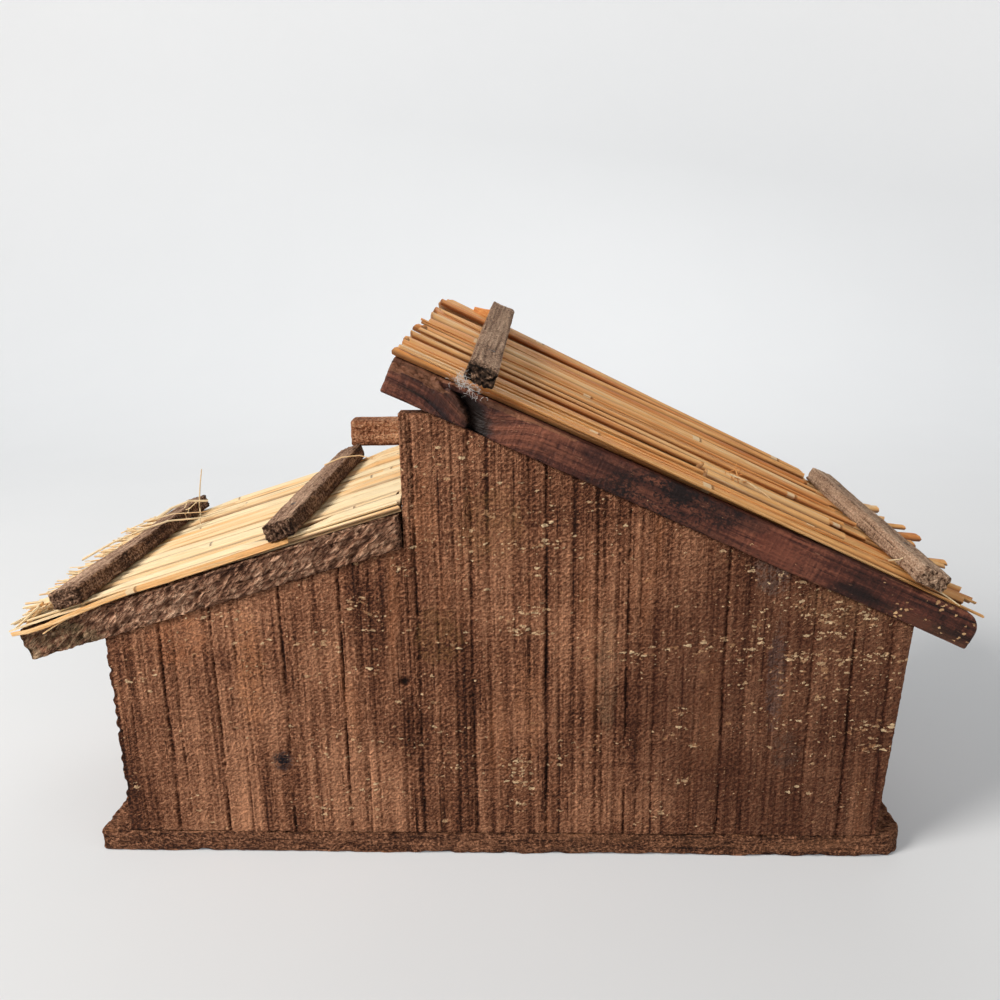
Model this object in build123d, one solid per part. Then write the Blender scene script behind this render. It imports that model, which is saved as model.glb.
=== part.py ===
from build123d import *
import os
from dataclasses import dataclass
from math import atan, cos, degrees, floor, radians, sin, tan

# Small wooden stable, open at the front: a base board, a stepped back wall, two side walls and three
# front posts under a low lean-to roof on the left and a higher main roof on the right, both of loose reeds.
# Millimetres. X runs along the back wall, Y from the back wall to the open front, Z up.
# The origin is the middle of the base board's underside.

# Base board
BASE_WIDTH = 300.0
BASE_THICKNESS = 9.0
BASE_FRONT_MARGIN = 11.5
BASE_CORNER_RADIUS = 2.5

# Back wall: one upright board whose top steps up where the two roofs part
WALL_THICKNESS = 8.0
WALL_LEFT_INSET = 12.0
WALL_RIGHT_INSET = 11.5
WALL_RIGHT_LEAN = 6.0
LEAN_TO_WIDTH = 108.0
LEAN_TO_EAVE_HEIGHT = 78.5
MAIN_EAVE_HEIGHT = 82.4
STEP_LANDING = 11.5

# Saw grooves that run up the back of the wall
GROOVE_WIDTH = 1.2
GROOVE_DEPTH = 0.6
GROOVE_SHARES = (0.0705, 0.139, 0.230, 0.306, 0.405, 0.474, 0.567, 0.632, 0.669, 0.792, 0.951)

# Side walls and front posts
SIDE_WALL_THICKNESS = 8.0
POST_WIDTH = 12.0

# Rafters: square sticks, one pair at the back and one pair at the front
LEAN_TO_PITCH = 17.0
MAIN_PITCH = 24.8
ROOF_DEPTH = 130.0
RAFTER_DEPTH = 12.0
RAFTER_HEIGHT = 12.0
RAFTER_PROUD = 1.5
LEAN_TO_EAVE_OVERHANG = 28.5
LEAN_TO_STEP_GAP = 1.3
MAIN_RIDGE_OVERHANG = 5.4
MAIN_EAVE_OVERHANG = 19.0
MAIN_TAIL_CHAMFER = 6.0

# Tie beam on the front faces of the middle post and of the main front rafter
TIE_BEAM_CLEAR_HEIGHT = 121.3
TIE_BEAM_HEIGHT = 12.2
TIE_BEAM_DEPTH = 11.0
TIE_BEAM_STUB = 42.6

# Purlins: flat sticks between the rafters that carry the reeds
PURLIN_WIDTH = 10.0
PURLIN_HEIGHT = 6.0

# Battens: flat sticks that hold the reeds down from above
BATTEN_WIDTH = 10.5
BATTEN_THICKNESS = 6.3
BATTEN_FRONT_SETBACK = 1.0
BATTEN_ARRIS = 0.8
LEAN_TO_EAVE_BATTEN_FROM_EAVE = 22.0
LEAN_TO_STEP_BATTEN_FROM_STEP = 37.0
MAIN_RIDGE_BATTEN_FROM_RIDGE = 28.0
MAIN_EAVE_BATTEN_FROM_EAVE = 24.0

# Reeds: tapered stalks along the slope, butts upward. A gap stands between neighbours, above and beside.
# One layer lies on the lean-to. On the main roof the layers build up towards the front, most at the ridge.
REED_BUTT = 3.4
REED_TIP = 2.4
REED_SIDES = 12
REED_GAP = 0.3
THATCH_EDGE_MARGIN = 1.0
MAIN_RIDGE_EXTRA_LAYERS = 3.5
MAIN_EAVE_EXTRA_LAYERS = 1.4
SHORT_REED_SETBACK = 6.0
SHORT_REED_SPREAD = 70.0
LEAN_TO_REED_EAVE_OVERHANG = 5.0
LEAN_TO_REED_STEP_OVERHANG = 2.6
MAIN_REED_RIDGE_OVERHANG = 3.0
MAIN_REED_EAVE_OVERHANG = 9.0
REED_DIAMETER_SHARES = (1.0, 0.9, 0.96, 0.86, 1.0, 0.93, 0.88)
RIGHT_END_STRIDE = 4
REED_END_SHARES = (0.2, 0.9, 0.5, 1.0, 0.0, 0.7, 0.35, 0.85, 0.1, 0.6, 0.45)

# Cut nails: a square shank with a blunt end under a square head
NAIL_WIDTH = 1.2
NAIL_HEAD_WIDTH = 2.4
NAIL_HEAD_THICKNESS = 0.5
NAIL_CLEARANCE = 0.15
BATTEN_NAIL_BITE = 4.0
RAFTER_NAIL_BITE = 8.0
TIE_NAIL_BITE = 7.0
TIE_NAIL_FROM_END = 6.0
BATTEN_NAIL_SHARES = (0.2, 0.8)
WALL_NAIL_SHARES = (0.2, 0.75)

# Every cut runs past the face that it leaves by this much
CUT_OVERRUN = 2.0

# Places that several pieces share
BASE_DEPTH = ROOF_DEPTH - RAFTER_PROUD + BASE_FRONT_MARGIN
FLOOR = BASE_THICKNESS
WALL_BACK = -BASE_DEPTH / 2
WALL_FRONT = WALL_BACK + WALL_THICKNESS
ROOF_BACK = WALL_BACK - RAFTER_PROUD
ROOF_FRONT = ROOF_BACK + ROOF_DEPTH
POST_BACK = ROOF_FRONT - POST_WIDTH
WALL_LEFT = -BASE_WIDTH / 2 + WALL_LEFT_INSET
WALL_RIGHT = BASE_WIDTH / 2 - WALL_RIGHT_INSET
WALL_EAVE_RIGHT = WALL_RIGHT + WALL_RIGHT_LEAN
STEP = WALL_LEFT + LEAN_TO_WIDTH
LANDING_END = STEP + STEP_LANDING


def lean_to_underside(x):
    """Height of the lean-to rafters' underside at x."""
    return FLOOR + LEAN_TO_EAVE_HEIGHT + (x - WALL_LEFT) * tan(radians(LEAN_TO_PITCH))


def main_underside(x):
    """Height of the main rafters' underside at x."""
    return FLOOR + MAIN_EAVE_HEIGHT + (WALL_EAVE_RIGHT - x) * tan(radians(MAIN_PITCH))


@dataclass
class Roof:
    """One roof slope, with its own x along the rafters, y to the front and z off the slope.

    Its zero is the back corner of the rafters' underside at their left end.
    """

    plane: Plane
    length: float
    left_reed: float
    right_reed: float
    left_batten: float
    right_batten: float
    left_extra_layers: float
    right_extra_layers: float
    left_overhang: float
    right_overhang: float

    def reed(self, x):
        """Diameter of a full-sized reed at x."""
        return self.left_reed + (self.right_reed - self.left_reed) * x / self.length

    def stack(self, x, layers):
        """Height of so many layers of reeds at x, over the underside of the rafters."""
        return RAFTER_HEIGHT + layers * (self.reed(x) + REED_GAP)

    def extra_layers(self, at):
        """Layers over the first one at the front end of the batten at this place."""
        return self.left_extra_layers if at == self.left_batten else self.right_extra_layers

    def layers(self, at, y):
        """Layers of reeds that the batten at this place leaves room for at y."""
        return 1 + self.extra_layers(at) * y / ROOF_DEPTH


def slope_length(run, pitch):
    """Length along a slope that covers a level run."""
    return run / cos(radians(pitch))


lean_to_left = WALL_LEFT - LEAN_TO_EAVE_OVERHANG * cos(radians(LEAN_TO_PITCH))
lean_to_length = slope_length(STEP - LEAN_TO_STEP_GAP - lean_to_left, LEAN_TO_PITCH)
lean_to = Roof(
    plane=Plane(
        origin=(lean_to_left, ROOF_BACK, lean_to_underside(lean_to_left)),
        x_dir=(cos(radians(LEAN_TO_PITCH)), 0, sin(radians(LEAN_TO_PITCH))),
        z_dir=(-sin(radians(LEAN_TO_PITCH)), 0, cos(radians(LEAN_TO_PITCH))),
    ),
    length=lean_to_length,
    left_reed=REED_TIP,
    right_reed=REED_BUTT,
    left_batten=LEAN_TO_EAVE_BATTEN_FROM_EAVE,
    right_batten=lean_to_length - LEAN_TO_STEP_BATTEN_FROM_STEP,
    left_extra_layers=0,
    right_extra_layers=0,
    left_overhang=LEAN_TO_REED_EAVE_OVERHANG,
    right_overhang=LEAN_TO_REED_STEP_OVERHANG,
)

main_left = STEP - MAIN_RIDGE_OVERHANG * cos(radians(MAIN_PITCH))
main_length = slope_length(WALL_EAVE_RIGHT - main_left, MAIN_PITCH) + MAIN_EAVE_OVERHANG
main = Roof(
    plane=Plane(
        origin=(main_left, ROOF_BACK, main_underside(main_left)),
        x_dir=(cos(radians(MAIN_PITCH)), 0, -sin(radians(MAIN_PITCH))),
        z_dir=(sin(radians(MAIN_PITCH)), 0, cos(radians(MAIN_PITCH))),
    ),
    length=main_length,
    left_reed=REED_BUTT,
    right_reed=REED_TIP,
    left_batten=MAIN_RIDGE_BATTEN_FROM_RIDGE,
    right_batten=main_length - MAIN_EAVE_BATTEN_FROM_EAVE,
    left_extra_layers=MAIN_RIDGE_EXTRA_LAYERS,
    right_extra_layers=MAIN_EAVE_EXTRA_LAYERS,
    left_overhang=MAIN_REED_RIDGE_OVERHANG,
    right_overhang=MAIN_REED_EAVE_OVERHANG,
)


def upright(points, back, depth):
    """Board or stick with the outline given in x and z, from its back face towards the front."""
    face = Plane((0, back, 0), x_dir=(1, 0, 0), z_dir=(0, -1, 0)) * Polygon(*points)
    return extrude(face, depth, dir=(0, 1, 0))


def nail_shape(length, head_top, clearance):
    """Square shank down from a head seat at zero and a square head over it, both wider by a clearance."""
    shank = extrude(Rectangle(NAIL_WIDTH + clearance * 2, NAIL_WIDTH + clearance * 2), -length - clearance)
    head = extrude(Rectangle(NAIL_HEAD_WIDTH + clearance * 2, NAIL_HEAD_WIDTH + clearance * 2), head_top)
    return shank + head


def nail(length):
    """Nail with its head seat at zero."""
    return nail_shape(length, NAIL_HEAD_THICKNESS, 0)


def nail_hole(length):
    """Hole that a nail fits, with a pocket over its head seat."""
    return nail_shape(length, NAIL_HEAD_THICKNESS + CUT_OVERRUN, NAIL_CLEARANCE)


def batten_seat(roof, at):
    """Height of a batten's back underside edge: it clears the thicker edge of the reeds that it crosses."""
    half = BATTEN_WIDTH / 2
    return max(roof.stack(at - half, 1), roof.stack(at + half, 1))


def batten_rise(roof, at):
    """Rise of a batten's underside for each unit of length to the front."""
    return roof.extra_layers(at) * (batten_seat(roof, at) - RAFTER_HEIGHT) / ROOF_DEPTH


def batten_nail_places(roof, at):
    """Head seats and lengths of the nails through a batten into the purlin under it."""
    places = []
    for share in BATTEN_NAIL_SHARES:
        y = share * ROOF_DEPTH
        rise = batten_rise(roof, at)
        low_side = y - NAIL_HEAD_WIDTH / 2
        top = batten_seat(roof, at) + rise * low_side + BATTEN_THICKNESS * (1 + rise**2) ** 0.5
        seat = top - NAIL_HEAD_THICKNESS
        length = seat - RAFTER_HEIGHT + BATTEN_NAIL_BITE
        places.append((roof.plane * Pos(at, y, seat), length))
    return places


def rafter_nail_places(roof, xs, y):
    """Head seats and lengths of the nails through a rafter into what stands under it."""
    seat = RAFTER_HEIGHT - NAIL_HEAD_THICKNESS
    return [(roof.plane * Pos(x, y, seat), seat + RAFTER_NAIL_BITE) for x in xs]


def across_wall(first, last):
    """Places along a rafter, between the first and the last place that the wall is under."""
    return [first + share * (last - first) for share in WALL_NAIL_SHARES]


def over_post(roof, x):
    """Place along a rafter whose underside is at x."""
    return (x - roof.plane.origin.X) / roof.plane.x_dir.X


LEFT_POST_X = WALL_LEFT + POST_WIDTH / 2
MIDDLE_POST_X = STEP + POST_WIDTH / 2
RIGHT_POST_X = WALL_RIGHT - POST_WIDTH / 2
back_nail_y = RAFTER_PROUD + WALL_THICKNESS / 2
front_nail_y = ROOF_DEPTH - RAFTER_DEPTH / 2
lean_to_wall_nails = rafter_nail_places(
    lean_to, across_wall(LEAN_TO_EAVE_OVERHANG, lean_to.length), back_nail_y
)
main_wall_nails = rafter_nail_places(
    main, across_wall(MAIN_RIDGE_OVERHANG, main.length - MAIN_EAVE_OVERHANG), back_nail_y
)
lean_to_post_nails = rafter_nail_places(lean_to, [over_post(lean_to, LEFT_POST_X)], front_nail_y)
main_post_nails = rafter_nail_places(
    main, [over_post(main, MIDDLE_POST_X), over_post(main, RIGHT_POST_X)], front_nail_y
)


def drilled(piece, places):
    """Piece with the holes of the nails at these places."""
    for place, length in places:
        piece = piece - place * nail_hole(length)
    return piece


def driven(places):
    """Group of nails at these places."""
    return Compound(children=[(place * nail(length)).solid() for place, length in places])


def base_board():
    """Board that everything stands on, its corners worn round."""
    board = Box(BASE_WIDTH, BASE_DEPTH, BASE_THICKNESS, align=(Align.CENTER, Align.CENTER, Align.MIN))
    return fillet(board.edges().filter_by(Axis.Z), BASE_CORNER_RADIUS)


def back_wall():
    """Stepped board with saw grooves up its back and the rafters' nail holes in its top."""
    outline = [
        (WALL_LEFT, FLOOR),
        (WALL_RIGHT, FLOOR),
        (WALL_EAVE_RIGHT, main_underside(WALL_EAVE_RIGHT)),
        (LANDING_END, main_underside(LANDING_END)),
        (STEP, main_underside(LANDING_END)),
        (STEP, lean_to_underside(STEP)),
        (WALL_LEFT, lean_to_underside(WALL_LEFT)),
    ]
    wall = upright(outline, WALL_BACK, WALL_THICKNESS)
    groove = extrude(
        Polygon((-GROOVE_WIDTH / 2, 0), (GROOVE_WIDTH / 2, 0), (0, GROOVE_DEPTH)), main_underside(STEP)
    )
    for share in GROOVE_SHARES:
        wall = wall - Pos(WALL_LEFT + share * (WALL_RIGHT - WALL_LEFT), WALL_BACK, 0) * groove
    return drilled(wall, lean_to_wall_nails + main_wall_nails)


def side_wall(left, underside):
    """Board between the back wall and a front post, its top cut to the slope of the roof over it."""
    right = left + SIDE_WALL_THICKNESS
    outline = [(left, FLOOR), (right, FLOOR), (right, underside(right)), (left, underside(left))]
    return upright(outline, WALL_FRONT, POST_BACK - WALL_FRONT)


def front_post(middle, underside, places):
    """Square post, its top cut to the slope of the rafter that it carries."""
    left = middle - POST_WIDTH / 2
    right = middle + POST_WIDTH / 2
    outline = [(left, FLOOR), (right, FLOOR), (right, underside(right)), (left, underside(left))]
    return drilled(upright(outline, POST_BACK, POST_WIDTH), places)


def lean_to_rafter(foot, head, back, places):
    """Lean-to rafter with the lengths of its underside and of its top."""
    outline = [(0, 0), (foot, 0), (head, RAFTER_HEIGHT), (0, RAFTER_HEIGHT)]
    return drilled(lean_to.plane * upright(outline, back, RAFTER_DEPTH), places)


def main_rafter(back, places):
    """Main rafter with the upper corner of its tail cut off."""
    outline = [
        (0, 0),
        (main.length, 0),
        (main.length, RAFTER_HEIGHT - MAIN_TAIL_CHAMFER),
        (main.length - MAIN_TAIL_CHAMFER, RAFTER_HEIGHT),
        (0, RAFTER_HEIGHT),
    ]
    return drilled(main.plane * upright(outline, back, RAFTER_DEPTH), places)


TIE_BEAM_BOTTOM = FLOOR + TIE_BEAM_CLEAR_HEIGHT
TIE_BEAM_MIDDLE = TIE_BEAM_BOTTOM + TIE_BEAM_HEIGHT / 2
tie_beam_left = STEP - TIE_BEAM_STUB
tie_beam_rise = TIE_BEAM_BOTTOM - main_underside(WALL_EAVE_RIGHT)
tie_beam_right = WALL_EAVE_RIGHT - tie_beam_rise / tan(radians(MAIN_PITCH))
tie_beam_nails = [
    (Pos(x, ROOF_FRONT + TIE_BEAM_DEPTH - NAIL_HEAD_THICKNESS, TIE_BEAM_MIDDLE) * Rot(-90, 0, 0),
     TIE_BEAM_DEPTH - NAIL_HEAD_THICKNESS + TIE_NAIL_BITE)
    for x in (MIDDLE_POST_X, tie_beam_right - TIE_NAIL_FROM_END)
]


def tie_beam():
    """Stick across the front, from a free end over the lean-to roof to the underside of the main rafter."""
    length = tie_beam_right - tie_beam_left
    beam = Box(length, TIE_BEAM_DEPTH, TIE_BEAM_HEIGHT, align=(Align.MIN, Align.MIN, Align.MIN))
    return drilled(Pos(tie_beam_left, ROOF_FRONT, TIE_BEAM_BOTTOM) * beam, tie_beam_nails)


def purlin(roof, at, places=()):
    """Flat stick between the two rafters of a roof, flush with their tops."""
    between = ROOF_DEPTH - RAFTER_DEPTH * 2
    stick = Box(PURLIN_WIDTH, between, PURLIN_HEIGHT, align=(Align.CENTER, Align.MIN, Align.MAX))
    return drilled(roof.plane * Pos(at, RAFTER_DEPTH, RAFTER_HEIGHT) * stick, places)


def batten(roof, at):
    """Flat stick over the reeds, lifted at the front where they lie thicker."""
    length = ROOF_DEPTH - BATTEN_FRONT_SETBACK
    stick = Box(BATTEN_WIDTH, length, BATTEN_THICKNESS, align=(Align.CENTER, Align.MIN, Align.MIN))
    stick = chamfer(stick.edges().filter_by(Axis.Y), BATTEN_ARRIS)
    tilt = degrees(atan(batten_rise(roof, at)))
    placed = roof.plane * Pos(at, 0, batten_seat(roof, at)) * Rot(tilt, 0, 0) * stick
    return drilled(placed, batten_nail_places(roof, at))


def reed_columns(roof):
    """Middles of the reeds across a roof, parted to let the batten nails through."""
    half_nail = NAIL_WIDTH / 2 + NAIL_CLEARANCE
    nail_lines = [share * ROOF_DEPTH for share in BATTEN_NAIL_SHARES]
    starts = [THATCH_EDGE_MARGIN] + [line + half_nail for line in nail_lines]
    ends = [line - half_nail for line in nail_lines] + [ROOF_DEPTH - THATCH_EDGE_MARGIN]
    thickest = max(roof.reed(-roof.left_overhang), roof.reed(roof.length + roof.right_overhang)) + REED_GAP
    columns = []
    for start, end in zip(starts, ends):
        count = floor((end - start) / thickest)
        pitch = (end - start) / count
        columns += [(start + pitch * (number + 1 / 2), pitch) for number in range(count)]
    return columns


def reed(roof, y, layer, share, left, right):
    """Tapered stalk in one layer, from its left end to its right end, lying on the layers under it."""
    def end(x):
        diameter = share * roof.reed(x)
        return diameter / 2, Vector(x, y, RAFTER_HEIGHT + (layer + 1 / 2) * (diameter + REED_GAP))

    left_radius, left_end = end(left)
    right_radius, right_end = end(right)
    along = right_end - left_end
    left_cut = Plane(left_end, z_dir=along) * RegularPolygon(left_radius, REED_SIDES)
    right_cut = Plane(right_end, z_dir=along) * RegularPolygon(right_radius, REED_SIDES)
    return (roof.plane * loft([left_cut, right_cut], ruled=True)).solid()


def reed_course(roof, layer):
    """All the reeds of one layer, with ragged ends."""
    stalks = []
    for number, (y, pitch) in enumerate(reed_columns(roof)):
        back = y - pitch / 2
        if layer + 1 > roof.layers(roof.left_batten, back):
            continue
        step = number + layer * len(REED_DIAMETER_SHARES) // 2
        share = REED_DIAMETER_SHARES[number % len(REED_DIAMETER_SHARES)]
        left = -roof.left_overhang * REED_END_SHARES[step % len(REED_END_SHARES)]
        ragged = REED_END_SHARES[step * RIGHT_END_STRIDE % len(REED_END_SHARES)]
        right = roof.length + roof.right_overhang * ragged
        if layer + 1 > roof.layers(roof.right_batten, back):
            short = roof.right_batten - BATTEN_WIDTH / 2 - SHORT_REED_SETBACK
            right = short - SHORT_REED_SPREAD * ragged
        stalks.append(reed(roof, y, layer, share, left, right))
    return Compound(children=stalks)


lean_to_plumb = slope_length(STEP - lean_to_left, LEAN_TO_PITCH)
lean_to_plumb_top = lean_to_plumb + RAFTER_HEIGHT * tan(radians(LEAN_TO_PITCH))
front_rafter_back = ROOF_DEPTH - RAFTER_DEPTH
main_middle = (main.left_batten + main.right_batten) / 2
lean_to_eave_nails = batten_nail_places(lean_to, lean_to.left_batten)
lean_to_step_nails = batten_nail_places(lean_to, lean_to.right_batten)
main_ridge_nails = batten_nail_places(main, main.left_batten)
main_eave_nails = batten_nail_places(main, main.right_batten)
tie_into_post = tie_beam_nails[:1]
tie_into_rafter = tie_beam_nails[1:]

pieces = {
    "base_board": base_board(),
    "back_wall": back_wall(),
    "left_side_wall": side_wall(WALL_LEFT, lean_to_underside),
    "right_side_wall": side_wall(WALL_RIGHT - SIDE_WALL_THICKNESS, main_underside),
    "left_front_post": front_post(LEFT_POST_X, lean_to_underside, lean_to_post_nails),
    "middle_front_post": front_post(MIDDLE_POST_X, main_underside, main_post_nails[:1] + tie_into_post),
    "right_front_post": front_post(RIGHT_POST_X, main_underside, main_post_nails[1:]),
    "tie_beam": tie_beam(),
    "lean_to_back_rafter": lean_to_rafter(lean_to.length, lean_to.length, 0, lean_to_wall_nails),
    "lean_to_front_rafter": lean_to_rafter(
        lean_to_plumb, lean_to_plumb_top, front_rafter_back, lean_to_post_nails
    ),
    "main_back_rafter": main_rafter(0, main_wall_nails),
    "main_front_rafter": main_rafter(front_rafter_back, main_post_nails + tie_into_rafter),
    "lean_to_eave_purlin": purlin(lean_to, lean_to.left_batten, lean_to_eave_nails),
    "lean_to_step_purlin": purlin(lean_to, lean_to.right_batten, lean_to_step_nails),
    "main_ridge_purlin": purlin(main, main.left_batten, main_ridge_nails),
    "main_middle_purlin": purlin(main, main_middle),
    "main_eave_purlin": purlin(main, main.right_batten, main_eave_nails),
    "lean_to_eave_batten": batten(lean_to, lean_to.left_batten),
    "lean_to_step_batten": batten(lean_to, lean_to.right_batten),
    "main_ridge_batten": batten(main, main.left_batten),
    "main_eave_batten": batten(main, main.right_batten),
    "lean_to_reeds": reed_course(lean_to, 0),
    "lean_to_batten_nails": driven(lean_to_eave_nails + lean_to_step_nails),
    "lean_to_rafter_nails": driven(lean_to_wall_nails + lean_to_post_nails),
    "main_batten_nails": driven(main_ridge_nails + main_eave_nails),
    "main_rafter_nails": driven(main_wall_nails + main_post_nails),
    "tie_beam_nails": driven(tie_beam_nails),
}
for layer in range(floor(1 + MAIN_RIDGE_EXTRA_LAYERS)):
    pieces[f"main_reeds_course_{layer + 1}"] = reed_course(main, layer)

os.makedirs("parts", exist_ok=True)
for name, piece in pieces.items():
    export_step(piece, f"parts/{name}.step")
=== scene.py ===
"""Looks of the nativity stable: rough-sawn stained wood under a thatch of split reeds."""
import math
import random

import bmesh
import bpy
import numpy as np
from mathutils import Matrix, Vector, noise


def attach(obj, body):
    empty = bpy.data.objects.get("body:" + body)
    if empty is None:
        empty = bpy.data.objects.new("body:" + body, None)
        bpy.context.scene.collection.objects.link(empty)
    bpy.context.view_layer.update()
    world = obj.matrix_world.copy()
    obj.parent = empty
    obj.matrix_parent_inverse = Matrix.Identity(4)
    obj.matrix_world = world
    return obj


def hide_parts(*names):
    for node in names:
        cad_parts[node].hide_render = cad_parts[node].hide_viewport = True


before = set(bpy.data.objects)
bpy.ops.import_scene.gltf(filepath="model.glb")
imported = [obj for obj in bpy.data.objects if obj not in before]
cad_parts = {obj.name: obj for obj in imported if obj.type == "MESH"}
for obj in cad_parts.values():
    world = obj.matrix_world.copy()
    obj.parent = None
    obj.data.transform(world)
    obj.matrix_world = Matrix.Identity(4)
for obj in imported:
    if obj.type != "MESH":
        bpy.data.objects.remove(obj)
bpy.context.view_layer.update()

# Lengths are in millimetres until a mesh is finished. X runs along the back wall, Y to the open front, Z up.
MM = 0.001
BASE = (300.0, 140.0, 9.0)
WORN_CORNER = 9.0
FLOOR = BASE[2]
WALL_BACK, WALL_FRONT = -70.0, -62.0
WALL_LEFT, WALL_RIGHT, WALL_EAVE_RIGHT = -138.0, 138.5, 144.5
LEAN_TO_LOW_EDGE, MAIN_LOW_EDGE = 87.5, 91.4
STEP, LANDING_END = -30.0, -18.5
GROOVES = (-118.5, -99.6, -74.5, -53.3, -26, -7, 18.8, 36.6, 47, 81, 125)
GROOVE_STRIP = 2
WALL_CELL, WALL_CELL_UP = 0.5, 0.76
WALL_KNOT, WALL_KNOT_REACH = (-31.7, 70.5), 2.6
SIDE_BOARD = 8.0
POST, POST_BACK = 12.0, 46.5
LEAN_TO_PITCH, MAIN_PITCH = math.radians(17), math.radians(24.8)
LEAN_TO_LENGTH, LEAN_TO_FRONT_LENGTH, MAIN_LENGTH = 140.08, 141.4, 216.63
ROOF_BACK, ROOF_DEPTH = -71.5, 130.0
RAFTER, WORN_TAIL = 12.0, 6.0
TIE_BEAM, TIE_BEAM_CORNER = (132.9, 11.0, 12.2), (-72.6, 58.5, 130.3)
PURLIN, MIDDLE_PURLIN = (106.0, 10.0, 6.0), 110.3
BATTEN = (129.0, 10.5, 6.3)
# Each batten's place down the slope, its seat over the rafters' tops and the rise of that seat to the front
LOW_EAVE, LOW_STEP = (22.0, 2.9, 0.0), (103.08, 3.5, 0.0)
RIDGE, HIGH_EAVE = (28.0, 3.6, 0.0968), (192.63, 2.8, 0.0305)


def lean_to_underside(x):
    return LEAN_TO_LOW_EDGE + math.tan(LEAN_TO_PITCH) * (x - WALL_LEFT)


def main_underside(x):
    return MAIN_LOW_EDGE + math.tan(MAIN_PITCH) * (WALL_EAVE_RIGHT - x)


def axes(origin, along, across):
    """Frame whose X runs along a stick and whose Y runs across it."""
    along, across = Vector(along), Vector(across)
    turned = Matrix((along, across, along.cross(across))).transposed().to_4x4()
    return Matrix.Translation(origin) @ turned


LEAN_TO = axes((-165.26, ROOF_BACK, 79.17), (math.cos(LEAN_TO_PITCH), 0, math.sin(LEAN_TO_PITCH)), (0, 1, 0))
MAIN = axes((-34.90, ROOF_BACK, 174.29), (math.cos(MAIN_PITCH), 0, -math.sin(MAIN_PITCH)), (0, 1, 0))


class Value:
    """A shader socket that takes part in sums."""

    def __init__(self, finish, socket):
        self.finish, self.socket = finish, socket

    def sum(self, operation, first, second):
        return self.finish.node("Math", {"operation": operation}, {0: first, 1: second})

    def __add__(self, other):
        return self.sum("ADD", self, other)

    __radd__ = __add__

    def __sub__(self, other):
        return self.sum("SUBTRACT", self, other)

    def __rsub__(self, other):
        return self.sum("SUBTRACT", other, self)

    def __mul__(self, other):
        return self.sum("MULTIPLY", self, other)

    __rmul__ = __mul__


class Finish:
    """A material on its way: its nodes come from one method, and its values do sums."""

    def __init__(self, name):
        self.material = bpy.data.materials.new(name)
        self.material.use_nodes = True
        self.tree = self.material.node_tree
        self.shader = self.tree.nodes["Principled BSDF"]

    def node(self, kind, settings, inputs, output=0):
        made = self.tree.nodes.new("ShaderNode" + kind)
        for key, setting in settings.items():
            if key == "stops":
                ramp = made.color_ramp.elements
                while len(ramp) < len(setting):
                    ramp.new(1)
                for stop, (place, colour) in zip(ramp, setting):
                    stop.position, stop.color = place, colour
            else:
                setattr(made, key, setting)
        for key, given in inputs.items():
            self.feed(made.inputs[key], given)
        return Value(self, made.outputs[output])

    def feed(self, socket, given):
        if isinstance(given, Value):
            self.tree.links.new(given.socket, socket)
        else:
            socket.default_value = given

    def attribute(self, name, output=1):
        return self.node("Attribute", {"attribute_name": name}, {}, output)

    def place(self):
        """Place on the object in millimetres."""
        return self.stretch(self.node("TexCoord", {}, {}, "Object"), (1 / MM,) * 3)

    def vectors(self, operation, first, second=(0, 0, 0), output=0):
        return self.node("VectorMath", {"operation": operation}, {0: first, 1: second}, output)

    def stretch(self, vector, by):
        return self.vectors("MULTIPLY", vector, by)

    def length(self, vector):
        return self.vectors("LENGTH", vector, output="Value")

    def part(self, vector, axis):
        return self.node("SeparateXYZ", {}, {0: vector}, axis)

    def noise(self, vector, by, detail=3.0, roughness=0.55):
        """Noise with this many swings to the millimetre along each axis, from -1 to 1 about nought."""
        speckle = self.node("TexNoise", {}, {
            "Vector": self.stretch(vector, by), "Scale": 1.0, "Detail": detail, "Roughness": roughness})
        return speckle * 2 - 1

    def step(self, value, low, high):
        """Soft step from 0 at low to 1 at high."""
        return self.node("MapRange", {"interpolation_type": "SMOOTHSTEP"}, {
            "Value": value, "From Min": low, "From Max": high})

    def spot(self, place, middle, reach):
        """1 at a spot, falling to 0 at its reach along each axis."""
        offset = self.vectors("SUBTRACT", place, middle)
        shares = self.stretch(offset, tuple(1 / r for r in reach))
        return 1 - self.step(self.length(shares), 0.45, 1.0)

    def mix(self, share, below, above):
        return self.node("Mix", {"data_type": "RGBA"}, {0: share, 6: below, 7: above}, 2)

    def ramp(self, value, stops):
        return self.node("ValToRGB", {"stops": stops}, {0: value})

    def done(self, colour, roughness, height=None, depth=0.2, specular=0.3):
        self.feed(self.shader.inputs["Base Color"], colour)
        self.feed(self.shader.inputs["Roughness"], roughness)
        self.shader.inputs["Specular IOR Level"].default_value = specular
        if height is not None:
            bump = self.node("Bump", {}, {"Strength": 1.0, "Distance": depth * MM, "Height": height})
            self.feed(self.shader.inputs["Normal"], bump)
        return self.material


class Room(Finish):
    """Even light from all round, which only the camera sees as pale as paper."""

    def __init__(self, name, colour, strength, pale):
        self.world = bpy.data.worlds.new(name)
        self.world.use_nodes = True
        self.tree = self.world.node_tree
        background = self.tree.nodes["Background"]
        seen = self.node("LightPath", {}, {}, "Is Camera Ray")
        self.feed(background.inputs["Color"], colour)
        self.feed(background.inputs["Strength"], seen * (pale - strength) + strength)


def rgb(red, green, blue):
    """Colour as a paint chart gives it, made linear."""
    def linear(share):
        share /= 255
        return share / 12.92 if share <= 0.04045 else ((share + 0.055) / 1.055) ** 2.4
    return linear(red), linear(green), linear(blue), 1.0


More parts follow.
